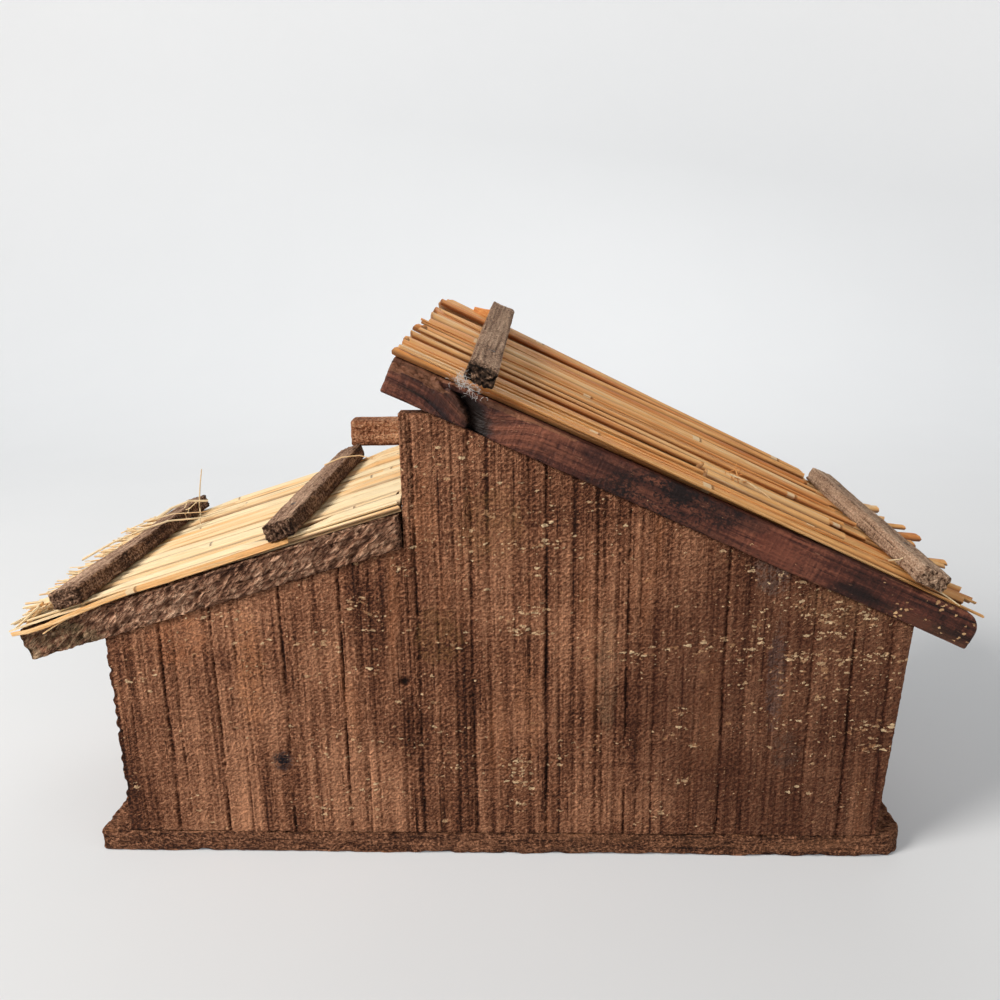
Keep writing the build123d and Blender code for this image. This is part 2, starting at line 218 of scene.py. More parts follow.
class SawnWood(Finish):
    """Rough-sawn wood: long bands and streaks along the grain, torn tufts standing up, saw marks across, and
    painted shade darkening its hollows.
    """

    def __init__(self, name, dark, middle, light, raw, tufted=1.0, contrast=1.0, cant=(0, 0, 0),
                 tuft=(0.5, 0.85, 0.85), grit=(0.85, 1.2, 1.2)):
        super().__init__(name)
        self.grain = grain = self.attribute("grain")
        self.bands = self.noise(grain, (0.005, 0.05, 0.05), 2)
        self.streaks = self.noise(grain, (0.014, 0.34, 0.34), 3, 0.6)
        self.lines = self.noise(grain, (0.02, 0.8, 0.8), 2, 0.6)
        self.dirt = self.noise(grain, (0.035, 0.022, 0.022), 4, 0.6)
        canted = self.node("Mapping", {}, {"Vector": grain, "Rotation": cant})
        self.tufts = self.noise(canted, tuft, 2, 0.6)
        self.fuzz = self.step(self.noise(canted, grit, 2, 0.65), -0.3, 0.3) * 2 - 1
        self.saw_marks = self.noise(grain, (0.8, 0.03, 0.03), 3)
        self.hollow, self.bare = self.attribute("hollow", 2), self.attribute("bare", 2)
        cracks = self.step(self.lines * -1, 0.22, 0.45)
        # Painted shade: the hollow term darkens sunk places and sides turned from the light.
        tone = (0.57 + self.bands * (0.3 * contrast) + self.streaks * (0.38 * contrast)
                + self.lines * (0.24 * contrast) + self.dirt * 0.34 + self.tufts * (0.16 * tufted)
                + self.fuzz * (0.16 * tufted) + self.saw_marks * 0.18 - cracks * 0.22 - self.hollow * 0.5)
        black = tuple(c * 0.3 for c in dark[:3]) + (1,)
        worn = tuple(min(1, c * 1.5) for c in light[:3]) + (1,)
        colour = self.ramp(tone, [(0.05, black), (0.3, dark), (0.52, middle), (0.76, light), (1.0, worn)])
        warmth = self.step(self.noise(grain, (0.012, 0.07, 0.07), 3), 0.1, 0.5)
        rubbed = self.step(self.bare + self.tufts * 0.6, 0.4, 0.9)
        self.colour = self.mix(warmth * 0.3 + rubbed * 0.6, colour, raw)
        self.height = (self.tufts * (0.8 * tufted) + self.fuzz * (0.22 * tufted) + self.lines * 0.6
                       + self.streaks * 0.2 + self.saw_marks * 0.3)

    def mark(self, place, rough, middle, reach, colour, strength):
        """Ragged stain or worn patch round a spot."""
        spot = self.spot(place, middle, reach)
        share = self.step(spot * 0.6 + rough + self.fuzz * 0.25, 0.25, 0.8) * self.step(spot, 0.02, 0.8)
        self.colour = self.mix(share * strength, self.colour, colour)

    def fleck(self, place, by, more, dull, bright, big):
        """Chips of bare wood, thicker where more is higher."""
        wander = self.node("TexNoise", {}, {"Vector": place, "Scale": 0.8, "Detail": 3.0}, 1)
        ragged = self.vectors("ADD", self.stretch(place, by), self.stretch(wander, (1.1, 0.2, 0.8)))
        far = self.node("TexVoronoi", {}, {"Vector": ragged, "Scale": 1.0})
        lots = self.node("TexVoronoi", {}, {"Vector": ragged, "Scale": 1.0}, 1)
        chance, size, pale = (self.part(lots, axis) for axis in "XYZ")
        reach = self.step(chance + more, 0.96, 1.02) * (0.22 + size * size * big) + self.fuzz * 0.16
        chip = self.step(reach - far, 0.0, 0.1) * self.step(chance + more, 0.94, 0.96)
        self.colour = self.mix(chip * (0.6 + pale * 0.4), self.colour, self.mix(pale, dull, bright))

    def finished(self, roughness=0.88, depth=1.4, specular=0.2):
        # Painted shade: deep hollows, such as grooves, the knot hole and pits, are darkened nearly to black.
        pit = self.step(self.hollow, 0.5, 1.2)
        colour = self.mix(pit * 0.85, self.colour, rgb(20, 11, 8))
        return self.done(colour, roughness, self.height, depth, specular)


# Stains of the back wall: middle and reach along X and Z, colour, strength
WALL_STAINS = (
    ((-87, 74), (8, 34), rgb(206, 138, 92), 0.4), ((-112, 88), (16, 18), rgb(188, 118, 76), 0.35),
    ((-78, 39), (6, 6), rgb(40, 38, 44), 0.8), ((12, 60), (8, 30), rgb(190, 128, 88), 0.3),
    ((-19, 88), (13, 16), rgb(132, 98, 54), 0.3), ((40, 74), (6, 36), rgb(120, 104, 80), 0.3),
    ((0, 128), (18, 20), rgb(150, 108, 66), 0.3), ((96, 114), (9, 18), rgb(104, 96, 92), 0.45),
    ((99, 72), (5, 30), rgb(66, 66, 72), 0.45), ((104, 44), (8, 11), rgb(58, 56, 54), 0.4),
    ((-28, 146), (3.4, 34), rgb(190, 136, 102), 0.45), ((120, 98), (24, 12), rgb(176, 128, 90), 0.3),
    ((-78, 39), (3.4, 3.4), rgb(18, 18, 26), 1.0))
# Where the back wall is chipped: middle and reach along X and Z, how thickly
WALL_CHIPS = (
    ((-60, 84), (13, 3.4), 0.5), ((10, 33), (7, 12), 0.75), ((8, 20), (5, 5), 0.6),
    ((18, 121), (8, 2.6), 0.9), ((15, 98), (8, 3.6), 1.0), ((13, 90), (11, 2.2), 0.8),
    ((136, 53), (11, 2.4), 1.0), ((134, 45), (8, 2.4), 0.8), ((-47, 100), (5.4, 4.0), 0.9),
    ((-39, 96.5), (6, 3.0), 0.9), ((67, 59), (4.6, 2.4), 1.1), ((72, 45), (3.4, 2.6), 0.9),
    ((60, 20), (5, 5), 0.6), ((112, 96), (7, 3.2), 0.8), ((124, 97), (10, 2.6), 0.9),
    ((116, 88), (12, 2.4), 0.9), ((130, 80), (11, 2.0), 0.8), ((118, 78), (8, 2.4), 0.8),
    ((106, 80), (6, 3.4), 0.6), ((92, 92), (4, 8), 0.6), ((-28, 112), (6, 2.4), 0.8),
    ((45, 80), (26, 3), 0.35), ((80, 84), (20, 5), 0.35))


def on_wall(place):
    """Place on the back face of the wall."""
    return place[0], WALL_BACK, place[1]


def stained_board():
    """Back wall and sides: dark stain with worn tan streaks, cream flecks and a few stains, and painted shade
    over the right part of the wall.
    """
    wood = SawnWood("stained_board", rgb(80, 43, 26), rgb(134, 85, 59), rgb(182, 128, 95), rgb(186, 120, 78),
                    1.0, 1.0, (0, 0, -1.03), (0.58, 0.85, 0.9))
    place = wood.place()
    # Painted shade: a broad soft spot darkens the right part of the wall, away from the light.
    shade = wood.spot(place, on_wall((112, 62)), (90, 30, 90))
    wood.colour = wood.mix(shade * 0.55, wood.colour, rgb(72, 35, 22))
    soft = wood.noise(place, (0.16, 0.1, 0.22), 4, 0.7)
    for middle, (along, up), colour, strength in WALL_STAINS:
        wood.mark(place, soft, on_wall(middle), (along, 5, up), colour, strength)
    clusters = wood.noise(place, (0.03, 0.01, 0.13), 3)
    right = wood.spot(place, on_wall((112, 82)), (52, 10, 46))
    over = wood.spot(place, on_wall((40, 84)), (190, 10, 96))
    chips = 0.0
    for middle, (along, up), thick in WALL_CHIPS:
        chips = wood.spot(place, on_wall(middle), (along, 5, up)) * thick + chips
    tan, cream = rgb(188, 134, 92), rgb(242, 210, 166)
    large = chips + clusters * 0.4 + right * 0.08 + over * 0.03
    small = chips * 0.4 + clusters * 0.5 + right * 0.15 + over * 0.06
    wood.fleck(place, (0.4, 0.22, 0.8), large, tan, cream, 0.4)
    wood.fleck(place, (0.85, 0.4, 1.3), small, tan, cream, 0.3)
    return wood.finished(0.88, 1.5)


def rough_board():
    """Base board: greyer, splintered and dirty."""
    wood = SawnWood("rough_board", rgb(75, 43, 29), rgb(127, 82, 57), rgb(172, 120, 89), rgb(172, 118, 82),
                    1.3, 0.7)
    moss = wood.step(wood.noise(wood.grain, (0.02, 0.06, 0.06), 4), 0.2, 0.5)
    wood.colour = wood.mix(moss * 0.3, wood.colour, rgb(110, 104, 80))
    return wood.finished(0.92, 1.5)


def torn_stick():
    """Lean-to rafter, torn across the grain by a blunt saw and green with damp at its low end, with painted
    shade between its torn plates.
    """
    wood = SawnWood("torn_stick", rgb(96, 60, 43), rgb(170, 122, 94), rgb(224, 178, 146), rgb(212, 164, 126),
                    1.0, 0.6, (0, 0.5, 0), (0.25, 0.68, 0.68), (0.4, 1.1, 1.1))
    place = wood.place()
    rough = wood.noise(place, (0.12, 0.12, 0.16), 4, 0.7)
    wood.mark(place, rough, (-155, ROOF_BACK, 86), (26, 8, 13), rgb(128, 120, 86), 0.5)
    plates = wood.step(wood.tufts, -0.12, 0.12)
    # Painted shade: the low ground between the raised torn plates is darkened.
    wood.colour = wood.mix((1 - plates) * 0.45, wood.colour, rgb(82, 52, 38))
    wood.height = wood.height + plates * 0.55
    return wood.finished(0.9, 2.8)


def stained_stick():
    """Posts, purlins, tie beam and the front rafter of the low roof."""
    wood = SawnWood("stained_stick", rgb(104, 60, 39), rgb(168, 110, 78), rgb(206, 156, 120),
                    rgb(196, 136, 96))
    return wood.finished(0.9, 1.2)


# Stains of the main back rafter: middle and reach along X and Z, colour, strength
RAFTER_STAINS = (
    ((64, 135), (40, 15), rgb(26, 13, 12), 0.9), ((52, 140), (34, 14), rgb(22, 11, 11), 0.85),
    ((-20, 166), (11, 9), rgb(38, 24, 26), 0.7), ((96, 118), (16, 12), rgb(108, 54, 40), 0.4),
    ((118, 104), (15, 6), rgb(30, 15, 14), 0.8), ((140, 92), (15, 10), rgb(104, 54, 40), 0.4))


def dark_stick():
    """Main rafters: heavy, dark, slightly glossy wood with black heartwood."""
    wood = SawnWood("dark_stick", rgb(39, 18, 14), rgb(81, 42, 32), rgb(136, 81, 60), rgb(158, 108, 78),
                    0.3, 1.05)
    place = wood.place()
    heart = wood.step(wood.noise(wood.grain, (0.011, 0.07, 0.07), 3), 0.0, 0.3)
    wood.colour = wood.mix(heart * 0.6, wood.colour, rgb(40, 20, 17))
    rough = wood.noise(place, (0.07, 0.1, 0.1), 4, 0.6)
    for (x, z), (along, up), colour, strength in RAFTER_STAINS:
        wood.mark(place, rough, (x, ROOF_BACK, z), (along, 6, up), colour, strength)
    scratches = wood.noise(wood.grain, (0.2, 1.4, 1.4), 3, 0.7)
    wood.colour = wood.mix(wood.step(scratches, 0.34, 0.46) * 0.5, wood.colour, rgb(176, 128, 98))
    low_end = wood.spot(place, (160, ROOF_BACK, 86), (52, 8, 40))
    wood.fleck(place, (0.6, 0.1, 0.9), low_end * 0.26, rgb(170, 124, 84), rgb(226, 186, 136), 0.26)
    return wood.finished(0.58, 0.8, 0.25)


def weathered_batten(name, dark, middle, light):
    wood = SawnWood(name, dark, middle, light, rgb(184, 148, 118), 1.0, 0.9, (0, 0, 0), (0.3, 0.95, 0.95))
    return wood.finished(0.9, 1.2)


def reed_skin():
    """Straw skin: each stalk has its own colour, a pale collar at its knot, a dark hollow end, and painted
    shade along its flanks and underside.
    """
    skin = Finish("reed_skin")
    grain = skin.attribute("grain")
    facts = skin.attribute("stalk")
    own, past_knot, between = (skin.part(facts, axis) for axis in "XYZ")
    inside = skin.attribute("hollow", 2)
    streaks = skin.noise(grain, (0.007, 1.7, 1.7), 3, 0.75)
    stains = skin.noise(grain, (0.02, 0.2, 0.2), 3)
    tone = own + streaks * 0.36 + stains * 0.26
    colour = skin.ramp(tone, [(0.0, rgb(128, 62, 28)), (0.2, rgb(176, 98, 46)), (0.45, rgb(222, 143, 76)),
                              (0.7, rgb(244, 186, 116)), (1.0, rgb(254, 230, 186))])
    below = skin.step(past_knot, 1.0, 1.4) - skin.step(past_knot, 1.5, 2.6)
    above = skin.step(past_knot, -2.2, -1.7) - skin.step(past_knot, 0.8, 1.2)
    colour = skin.mix(above * 0.75, colour, rgb(248, 224, 182))
    colour = skin.mix(below * 0.75, colour, rgb(104, 60, 32))
    scars = skin.noise(grain, (0.1, 0.6, 0.6), 3)
    colour = skin.mix(skin.step(scars, 0.42, 0.55) * 0.4, colour, rgb(126, 72, 36))
    splits = skin.noise(grain, (0.01, 0.8, 0.8), 2, 0.6)
    colour = skin.mix(skin.step(splits, 0.36, 0.44) * 0.45, colour, rgb(134, 76, 40))
    # Painted shade: flanks and undersides, where the reeds press against each other, are darkened.
    colour = skin.mix(skin.step(between, 0.74, 1.0) * 0.62, colour, rgb(116, 58, 30))
    colour = skin.mix(inside * 0.8, colour, rgb(84, 50, 26))
    return skin.done(colour, 0.45 + streaks * 0.12, streaks, 0.4, 0.35)


def straw_fluff():
    fluff = Finish("straw_fluff")
    shade = fluff.noise(fluff.place(), (0.6, 0.6, 0.6), 2)
    colour = fluff.ramp(0.5 + shade * 0.6, [(0.0, rgb(190, 184, 176)), (1.0, rgb(240, 238, 234))])
    return fluff.done(colour, 0.9)


def nail_steel():
    steel = Finish("nail_steel")
    place = steel.place()
    rust = steel.step(steel.noise(place, (0.7, 0.7, 0.7), 4, 0.6), -0.1, 0.4)
    colour = steel.mix(rust, rgb(96, 92, 88), rgb(92, 52, 30))
    steel.feed(steel.shader.inputs["Metallic"], 0.85 - rust * 0.7)
    return steel.done(colour, 0.45 + rust * 0.4, rust, 0.1)


BOARD, BASE_BOARD, STICK = stained_board(), rough_board(), stained_stick()
TORN, DARK = torn_stick(), dark_stick()
BROWN_BATTEN = weathered_batten("brown_batten", rgb(90, 62, 46), rgb(164, 127, 102), rgb(206, 170, 142))
GREY_BATTEN = weathered_batten("grey_batten", rgb(110, 82, 64), rgb(172, 138, 112), rgb(206, 174, 147))
REED, FLUFF, STEEL = reed_skin(), straw_fluff(), nail_steel()


def new_object(name, bm, finish):
    """Smooth object of a mesh, which takes up the drawing."""
    mesh = bpy.data.meshes.new(name)
    bm.to_mesh(mesh)
    bm.free()
    mesh.polygons.foreach_set("use_smooth", [True] * len(mesh.polygons))
    mesh.materials.append(finish)
    made = bpy.data.objects.new(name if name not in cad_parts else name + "_wood", mesh)
    bpy.context.scene.collection.objects.link(made)
    return made


def add_piece(name, bm, finish, stands_for=(), crease=50):
    """Finished mesh, in metres, riding on the stable."""
    bm.transform(Matrix.Scale(MM, 4))
    piece = new_object(name, bm, finish)
    piece.data.set_sharp_from_angle(angle=math.radians(crease))
    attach(piece, "root")
    if stands_for:
        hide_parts(*stands_for)
    return piece


def divide(bm, axis, size, cell):
    """Cuts every run along an axis into cells."""
    runs = [e for e in bm.edges if abs((e.verts[1].co - e.verts[0].co)[axis]) > size * 0.45]
    bmesh.ops.subdivide_edges(bm, edges=runs, cuts=max(1, round(size / cell) - 1), use_grid_fill=True)


def sawn_stick(length, width, height, cell=1.5, arris=0.7):
    """Squared stick along X with eased arrises, cut into cells."""
    bm = bmesh.new()
    size = Matrix.Diagonal((length, width, height, 1))
    bmesh.ops.create_cube(bm, size=1, matrix=Matrix.Translation((length / 2, width / 2, height / 2)) @ size)
    bmesh.ops.bevel(bm, geom=bm.edges[:], offset=arris, segments=2, profile=0.5, affect="EDGES", material=-1)
    for axis, side in enumerate((length, width, height)):
        divide(bm, axis, side, cell)
    return bm


def rounded(out, over):
    """Pulls the square offsets of a corner in to a round."""
    shrink = max(out, over) / math.hypot(out, over)
    return out * shrink, over * shrink


def round_tail(bm, length, height, radius):
    """Wears the upper corner of a stick's far end round."""
    for v in bm.verts:
        out, up = v.co.x - (length - radius), v.co.z - (height - radius)
        if out > 0 and up > 0:
            out, up = rounded(out, up)
            v.co.x, v.co.z = length - radius + out, height - radius + up


def wave(point, along, across):
    return noise.noise((point.x * along, point.y * across, point.z * across))


def weather(bm, seed, sway=0.3, fibre=0.14, chip=0.9, tears=0.0, cant=0.5):
    """Works torn fibres, chipped arrises and slanting tears into a stick or board, grain along X."""
    grain = bm.verts.layers.float_vector.new("grain")
    hollow = bm.verts.layers.float.new("hollow")
    bare = bm.verts.layers.float.new("bare")
    bm.normal_update()
    shift = Vector((seed * 137.3, seed * 61.7, seed * 29.1))
    for v in bm.verts:
        p = v.co + shift
        arris = min(1.0, 5 * (1 - max(abs(side) for side in v.normal)))
        torn = max(0.0, wave(p, 0.16, 0.45) - 0.12) * arris
        nicks = max(0.0, wave(p, 0.3, 0.6) - 0.42)
        depth = sway * wave(p, 0.022, 0.07) + fibre * wave(p, 0.12, 0.95) - chip * torn - nicks * 0.8
        gouge = 0.0
        if tears:
            along = p.x * math.cos(cant) + p.z * math.sin(cant)
            over = p.z * math.cos(cant) - p.x * math.sin(cant) + 1.2 * wave(p, 0.2, 0.2)
            gouge = max(0.0, noise.noise((along * 0.19, over * 0.58, p.y * 0.5)) + 0.05)
            gouge += 0.5 * max(0.0, noise.noise((along * 0.4, over * 1.2, p.y * 0.9 + 30)))
            depth -= tears * gouge * (1 - 0.65 * arris)
        v[grain] = p
        # The hollow value from tears, nicks and torn arrises is darkened by the finish as painted shade.
        v[hollow] = min(1.0, torn * 0.4 + nicks * 1.2 + gouge * 0.45)
        v[bare] = arris * max(0.0, 0.45 + wave(p, 0.05, 0.2)) - torn
        v.co += v.normal * depth
    return bm


def tear_ends(bm, length, seed, deep=1.0):
    """Roughens the end grain of a stick: pits and standing fibres."""
    hollow = bm.verts.layers.float["hollow"]
    for v in bm.verts:
        near = min(v.co.x, length - v.co.x)
        if near < 0.9:
            inward = 1 if v.co.x < length / 2 else -1
            pits = (noise.noise((v.co.y * 0.75, v.co.z * 0.75, seed))
                    + 0.6 * noise.noise((v.co.y * 1.7, v.co.z * 1.7, seed)))
            v.co.x += inward * deep * max(-0.4, pits)
            # End grain is darkened a little, and its pits more, as painted shade.
            v[hollow] = min(1.0, 0.2 + max(0.0, pits) * 1.2)


def lay(bm, frame_matrix):
    bm.transform(frame_matrix)
    return bm


def shear_end(bm, length, rise, side):
    """Slopes the far end of a stick across the given side axis."""
    for v in bm.verts:
        v.co.x += max(0.0, v.co.x / length) ** 8 * rise * v.co[side]


def upright(name, corner, size, cell, seed, underside, finish):
    """Post or board, grain upwards, its top cut to the slope of the rafter over it."""
    (left, back), (thick, deep) = corner, size
    length = underside(left) - FLOOR
    bm = sawn_stick(length, thick, deep, cell)
    shear_end(bm, length, (underside(left + thick) - underside(left)) / thick, 1)
    weather(bm, seed)
    lay(bm, axes((left, back, FLOOR), (0, 0, 1), (1, 0, 0)))
    add_piece(name, bm, finish, [name])


def front_post(name, left, seed, underside):
    upright(name, (left, POST_BACK), (POST, POST), 1.5, seed, underside, STICK)


def side_wall(name, left, seed, underside):
    size = (SIDE_BOARD, POST_BACK - WALL_FRONT)
    upright(name, (left, WALL_FRONT), size, 2.0, seed, underside, BOARD)


def base_board():
    """Splintered board with one corner worn round."""
    bm = sawn_stick(*BASE, 1.6, 1.1)
    weather(bm, 3, 0.4, 0.3, 2.4, 0.9, 0.25)
    for v in bm.verts:
        out, back = v.co.x - (BASE[0] - WORN_CORNER), WORN_CORNER - v.co.y
        if out > 0 and back > 0:
            out, back = rounded(out, back)
            v.co.x, v.co.y = BASE[0] - WORN_CORNER + out, WORN_CORNER - back
        v.co.z = max(0.0, v.co.z)
    lay(bm, Matrix.Translation((-BASE[0] / 2, -BASE[1] / 2, 0)))
    add_piece("base_board", bm, BASE_BOARD, ["base_board"])


def groove_lines():
    """Saw grooves and the finer lines between them, sorted into the strips of the wall that they touch."""
    rng = random.Random(11)
    lines = [(x, rng.uniform(0.8, 1.2), rng.uniform(0.5, 0.8), rng.uniform(0, 90)) for x in GROOVES]
    for _ in range(70):
        lines.append((rng.uniform(WALL_LEFT, WALL_RIGHT), rng.uniform(0.15, 0.55), rng.uniform(0.4, 0.6),
                      rng.uniform(0, 90)))
    strips = {}
    for line in lines:
        own = int(line[0] // GROOVE_STRIP)
        for strip in (own - 1, own, own + 1):
            strips.setdefault(strip, []).append(line)
    return strips


def groove_depth(strips, x, z):
    """Depth of the grooves at a place, each swaying a little and fading in and out."""
    depth = 0.0
    for middle, deep, half, seed in strips.get(int(x // GROOVE_STRIP), ()):
        sway = (0.5 * noise.noise((z * 0.035, seed, 0)) + 0.3 * noise.noise((z * 0.3, seed, 5))
                + 0.3 * noise.noise((z, seed, 1)))
        off = abs(x - middle - (z - 85) * 0.004 - sway)
        if off < half:
            keep = 0.75 + 0.9 * noise.noise((z * 0.045, seed, 9)) + 0.7 * noise.noise((z * 0.5, seed, 2))
            depth = max(depth, deep * min(1, max(0.1, keep)) * (1 - (off / half) ** 2))
    return depth


def cut_off(bm, point, normal, reach=None):
    """Cuts along a plane and takes away what is beyond it, only within the reach given."""
    def within(faces):
        return [f for f in faces if reach is None or reach(f.calc_center_median())]
    faces = within(bm.faces)
    edges = {e for f in faces for e in f.edges}
    verts = {v for f in faces for v in f.verts}
    bmesh.ops.bisect_plane(bm, geom=faces + list(edges) + list(verts), plane_co=point, plane_no=normal,
                           dist=1e-4)
    beyond = [f for f in within(bm.faces)
              if (f.calc_center_median() - Vector(point)).dot(Vector(normal)) > 0]
    bmesh.ops.delete(bm, geom=beyond, context="FACES")


def wall_face():
    """Back face of the stepped board: a fine grid cut to its outline."""
    wide, tall = WALL_EAVE_RIGHT - WALL_LEFT, main_underside(LANDING_END) - FLOOR
    bm = bmesh.new()
    middle = Matrix.Translation(((WALL_LEFT + WALL_EAVE_RIGHT) / 2, WALL_BACK, FLOOR + tall / 2))
    standing = Matrix.Rotation(math.pi / 2, 4, "X") @ Matrix.Diagonal((wide / 2, tall / 2, 1, 1))
    bmesh.ops.create_grid(bm, x_segments=int(wide / WALL_CELL), y_segments=int(tall / WALL_CELL_UP), size=1,
                          matrix=middle @ standing)
    lean = (WALL_EAVE_RIGHT - WALL_RIGHT) / (main_underside(WALL_EAVE_RIGHT) - FLOOR)
    cut_off(bm, (WALL_RIGHT, WALL_BACK, FLOOR), (1, 0, -lean))
    cut_off(bm, (STEP, WALL_BACK, lean_to_underside(STEP)),
            (-math.sin(LEAN_TO_PITCH), 0, math.cos(LEAN_TO_PITCH)), lambda c: c.x < STEP + 0.7)
    cut_off(bm, (WALL_EAVE_RIGHT, WALL_BACK, main_underside(WALL_EAVE_RIGHT)),
            (math.sin(MAIN_PITCH), 0, math.cos(MAIN_PITCH)))
    middles = [(f, f.calc_center_median()) for f in bm.faces]
    stray = [f for f, c in middles if c.x < STEP and c.z > lean_to_underside(STEP)]
    bmesh.ops.delete(bm, geom=stray, context="FACES")
    return bm


def carve_wall(bm):
    """Works grooves, tufts, a small knot and a bitten left edge into the wall's back face."""
    rim = {v.index for v in bm.verts if v.is_boundary}
    grain = bm.verts.layers.float_vector.new("grain")
    hollow = bm.verts.layers.float.new("hollow")
    bare = bm.verts.layers.float.new("bare")
    lines = groove_lines()
    for v in bm.verts:
        x, y, z = v.co
        p = Vector((z, x, y))
        depth = groove_depth(lines, x, z)
        slant = z * 0.86 - x * 0.51
        tufts = 0.4 * noise.noise((slant * 0.85, x * 0.45, 0)) + 0.2 * wave(p, 0.05, 0.4)
        knot = math.hypot(x - WALL_KNOT[0], (z - WALL_KNOT[1]) * 1.3)
        if knot < WALL_KNOT_REACH:
            depth = max(depth, 1.1 * (1 - (knot / WALL_KNOT_REACH) ** 2))
        v[grain] = p
        # The depth of grooves and the knot goes to the hollow value, which the finish darkens as painted
        # shade.
        v[hollow] = min(1.2, depth * 0.85)
        v[bare] = 0.35 * max(0.0, wave(p, 0.01, 0.12)) + (0.35 if v.index in rim else 0.0)
        v.co.y += depth - tufts + (0.3 if v.index in rim else 0.0)
        if x < WALL_LEFT + 1.2:
            bite = max(-0.3, noise.noise((z * 0.16, 1, 4)) + 0.8 * noise.noise((z * 0.42, 1, 7)))
            v.co.x += 1.2 * bite
            v[hollow] = 0.4 + 0.6 * max(0.0, bite)
    return grain, hollow, bare


def back_wall():
    """Stepped board, grain upwards, grooved by the saw, with a plain inner face."""
    bm = wall_face()
    grain, hollow, bare = carve_wall(bm)
    edge = [e for e in bm.edges if e.is_boundary]
    front = bmesh.ops.extrude_edge_only(bm, edges=edge)["geom"]
    inner = [g for g in front if isinstance(g, bmesh.types.BMVert)]
    for v in inner:
        v.co.y = WALL_FRONT
        v[hollow] = v[bare] = 0.0
        v[grain] = Vector((v.co.z, v.co.x, v.co.y))
    rim = [g for g in front if isinstance(g, bmesh.types.BMEdge) and g.is_boundary]
    bmesh.ops.edgeloop_fill(bm, edges=rim)
    bmesh.ops.recalc_face_normals(bm, faces=bm.faces)
    add_piece("back_wall", bm, BOARD, ["back_wall"])


def at_front(roof):
    """The roof's frame, moved to the rafter at its open front."""
    return roof @ Matrix.Translation((0, ROOF_DEPTH - RAFTER, 0))


def lean_to_rafters():
    bm = sawn_stick(LEAN_TO_LENGTH, RAFTER, RAFTER, 0.75)
    weather(bm, 5, 0.25, 0.15, 0.6, 1.7)
    tear_ends(bm, LEAN_TO_LENGTH, 5, 0.4)
    shear_end(bm, LEAN_TO_LENGTH, 0.26, 2)
    for v in bm.verts:
        v.co.x += 1.2 * max(0.0, v.co.x / LEAN_TO_LENGTH) ** 8
    add_piece("lean_to_back_rafter", lay(bm, LEAN_TO), TORN, ["lean_to_back_rafter"])
    bm = sawn_stick(LEAN_TO_FRONT_LENGTH, RAFTER, RAFTER)
    shear_end(bm, LEAN_TO_FRONT_LENGTH, math.tan(LEAN_TO_PITCH), 2)
    weather(bm, 6)
    lay(bm, at_front(LEAN_TO))
    add_piece("lean_to_front_rafter", bm, STICK, ["lean_to_front_rafter"])


def main_rafters():
    bm = sawn_stick(MAIN_LENGTH, RAFTER, RAFTER, 0.85, 0.6)
    round_tail(bm, MAIN_LENGTH, RAFTER, WORN_TAIL)
    weather(bm, 7, 0.3, 0.07, 0.8)
    knot_and_wane(bm)
    add_piece("main_back_rafter", lay(bm, MAIN), DARK, ["main_back_rafter"])
    bm = sawn_stick(MAIN_LENGTH, RAFTER, RAFTER)
    round_tail(bm, MAIN_LENGTH, RAFTER, WORN_TAIL)
    weather(bm, 8, 0.3, 0.08, 0.8)
    lay(bm, at_front(MAIN))
    add_piece("main_front_rafter", bm, DARK, ["main_front_rafter"])


def knot_and_wane(bm):
    """Hollow knot in the back face of the main rafter, and the waney edge at its ridge end."""
    grain = bm.verts.layers.float_vector["grain"]
    hollow, bare = bm.verts.layers.float["hollow"], bm.verts.layers.float["bare"]
    for v in bm.verts:
        x, y, z = v.co
        wane = 4.4 * (1 - x / 74) + 1.4 * noise.noise((x * 0.09, 3, 3)) + 0.5 * noise.noise((x * 0.4, 3, 8))
        short = max(0.0, wane) - y - (RAFTER - z)
        if short > 0 and wane > 0.4:
            torn = short * (0.5 + 0.4 * noise.noise((x * 0.5, y, z)))
            v.co.y += torn
            v.co.z -= torn
            v[bare] = 1.0
        v[grain].z += 7 * math.exp(-((x - 33) / 13) ** 2)
        into = x - (30.6 - 0.05 * z - 0.075 * z * z) + 0.8 * noise.noise((x * 0.3, z * 0.3, 6))
        if y < 2 and -2.4 < into < 11:
            sunk = 4.4 * (1 - into / 11) ** 1.4 if into > 0 else 0.7 * (1 + into / 2.4) ** 2
            sunk *= min(1.0, max(0.0, (11.6 - z) / 2.5))
            v.co.y += sunk
            # The knot hole's depth goes to the hollow value, darkened by the finish as painted shade.
            v[hollow], v[bare] = min(1.5, sunk * 0.8), 0.0


def tie_beam():
    bm = sawn_stick(*TIE_BEAM, 1.4, 0.9)
    weather(bm, 9)
    lay(bm, Matrix.Translation(TIE_BEAM_CORNER))
    add_piece("tie_beam", bm, STICK, ["tie_beam"])


def purlin(name, roof, at, seed):
    """Stick between two rafters, flush with their tops."""
    _, wide, thick = PURLIN
    bm = sawn_stick(*PURLIN, 2.0)
    weather(bm, seed, 0.15, 0.1, 0.5)
    lay(bm, roof @ axes((at + wide / 2, RAFTER, thick), (0, 1, 0), (-1, 0, 0)))
    add_piece(name, bm, STICK, [name])


def rot_end(bm, reach, deep):
    """Pits and darkens the first stretch of a stick, where damp has got into its end; the pits themselves are
    darkened further as painted shade.
    """
    hollow = bm.verts.layers.float["hollow"]
    for v in bm.verts:
        if v.co.x < reach:
            share = 1 - v.co.x / reach
            pit = max(0.0, 0.1 + wave(v.co, 0.35, 0.7) + 0.5 * wave(v.co, 0.9, 1.4)) * share
            v[hollow] = min(1.2, v[hollow] + 0.25 * share + pit * 1.6)
            v.co -= v.normal * deep * pit


def paint_upslope_shade(bm):
    """Paints shade on the side of a batten that faces up the slope, the side turned from the light."""
    hollow = bm.verts.layers.float["hollow"]
    for v in bm.verts:
        v[hollow] = min(1.2, v[hollow] + 0.5 * max(0.0, -v.normal.y))


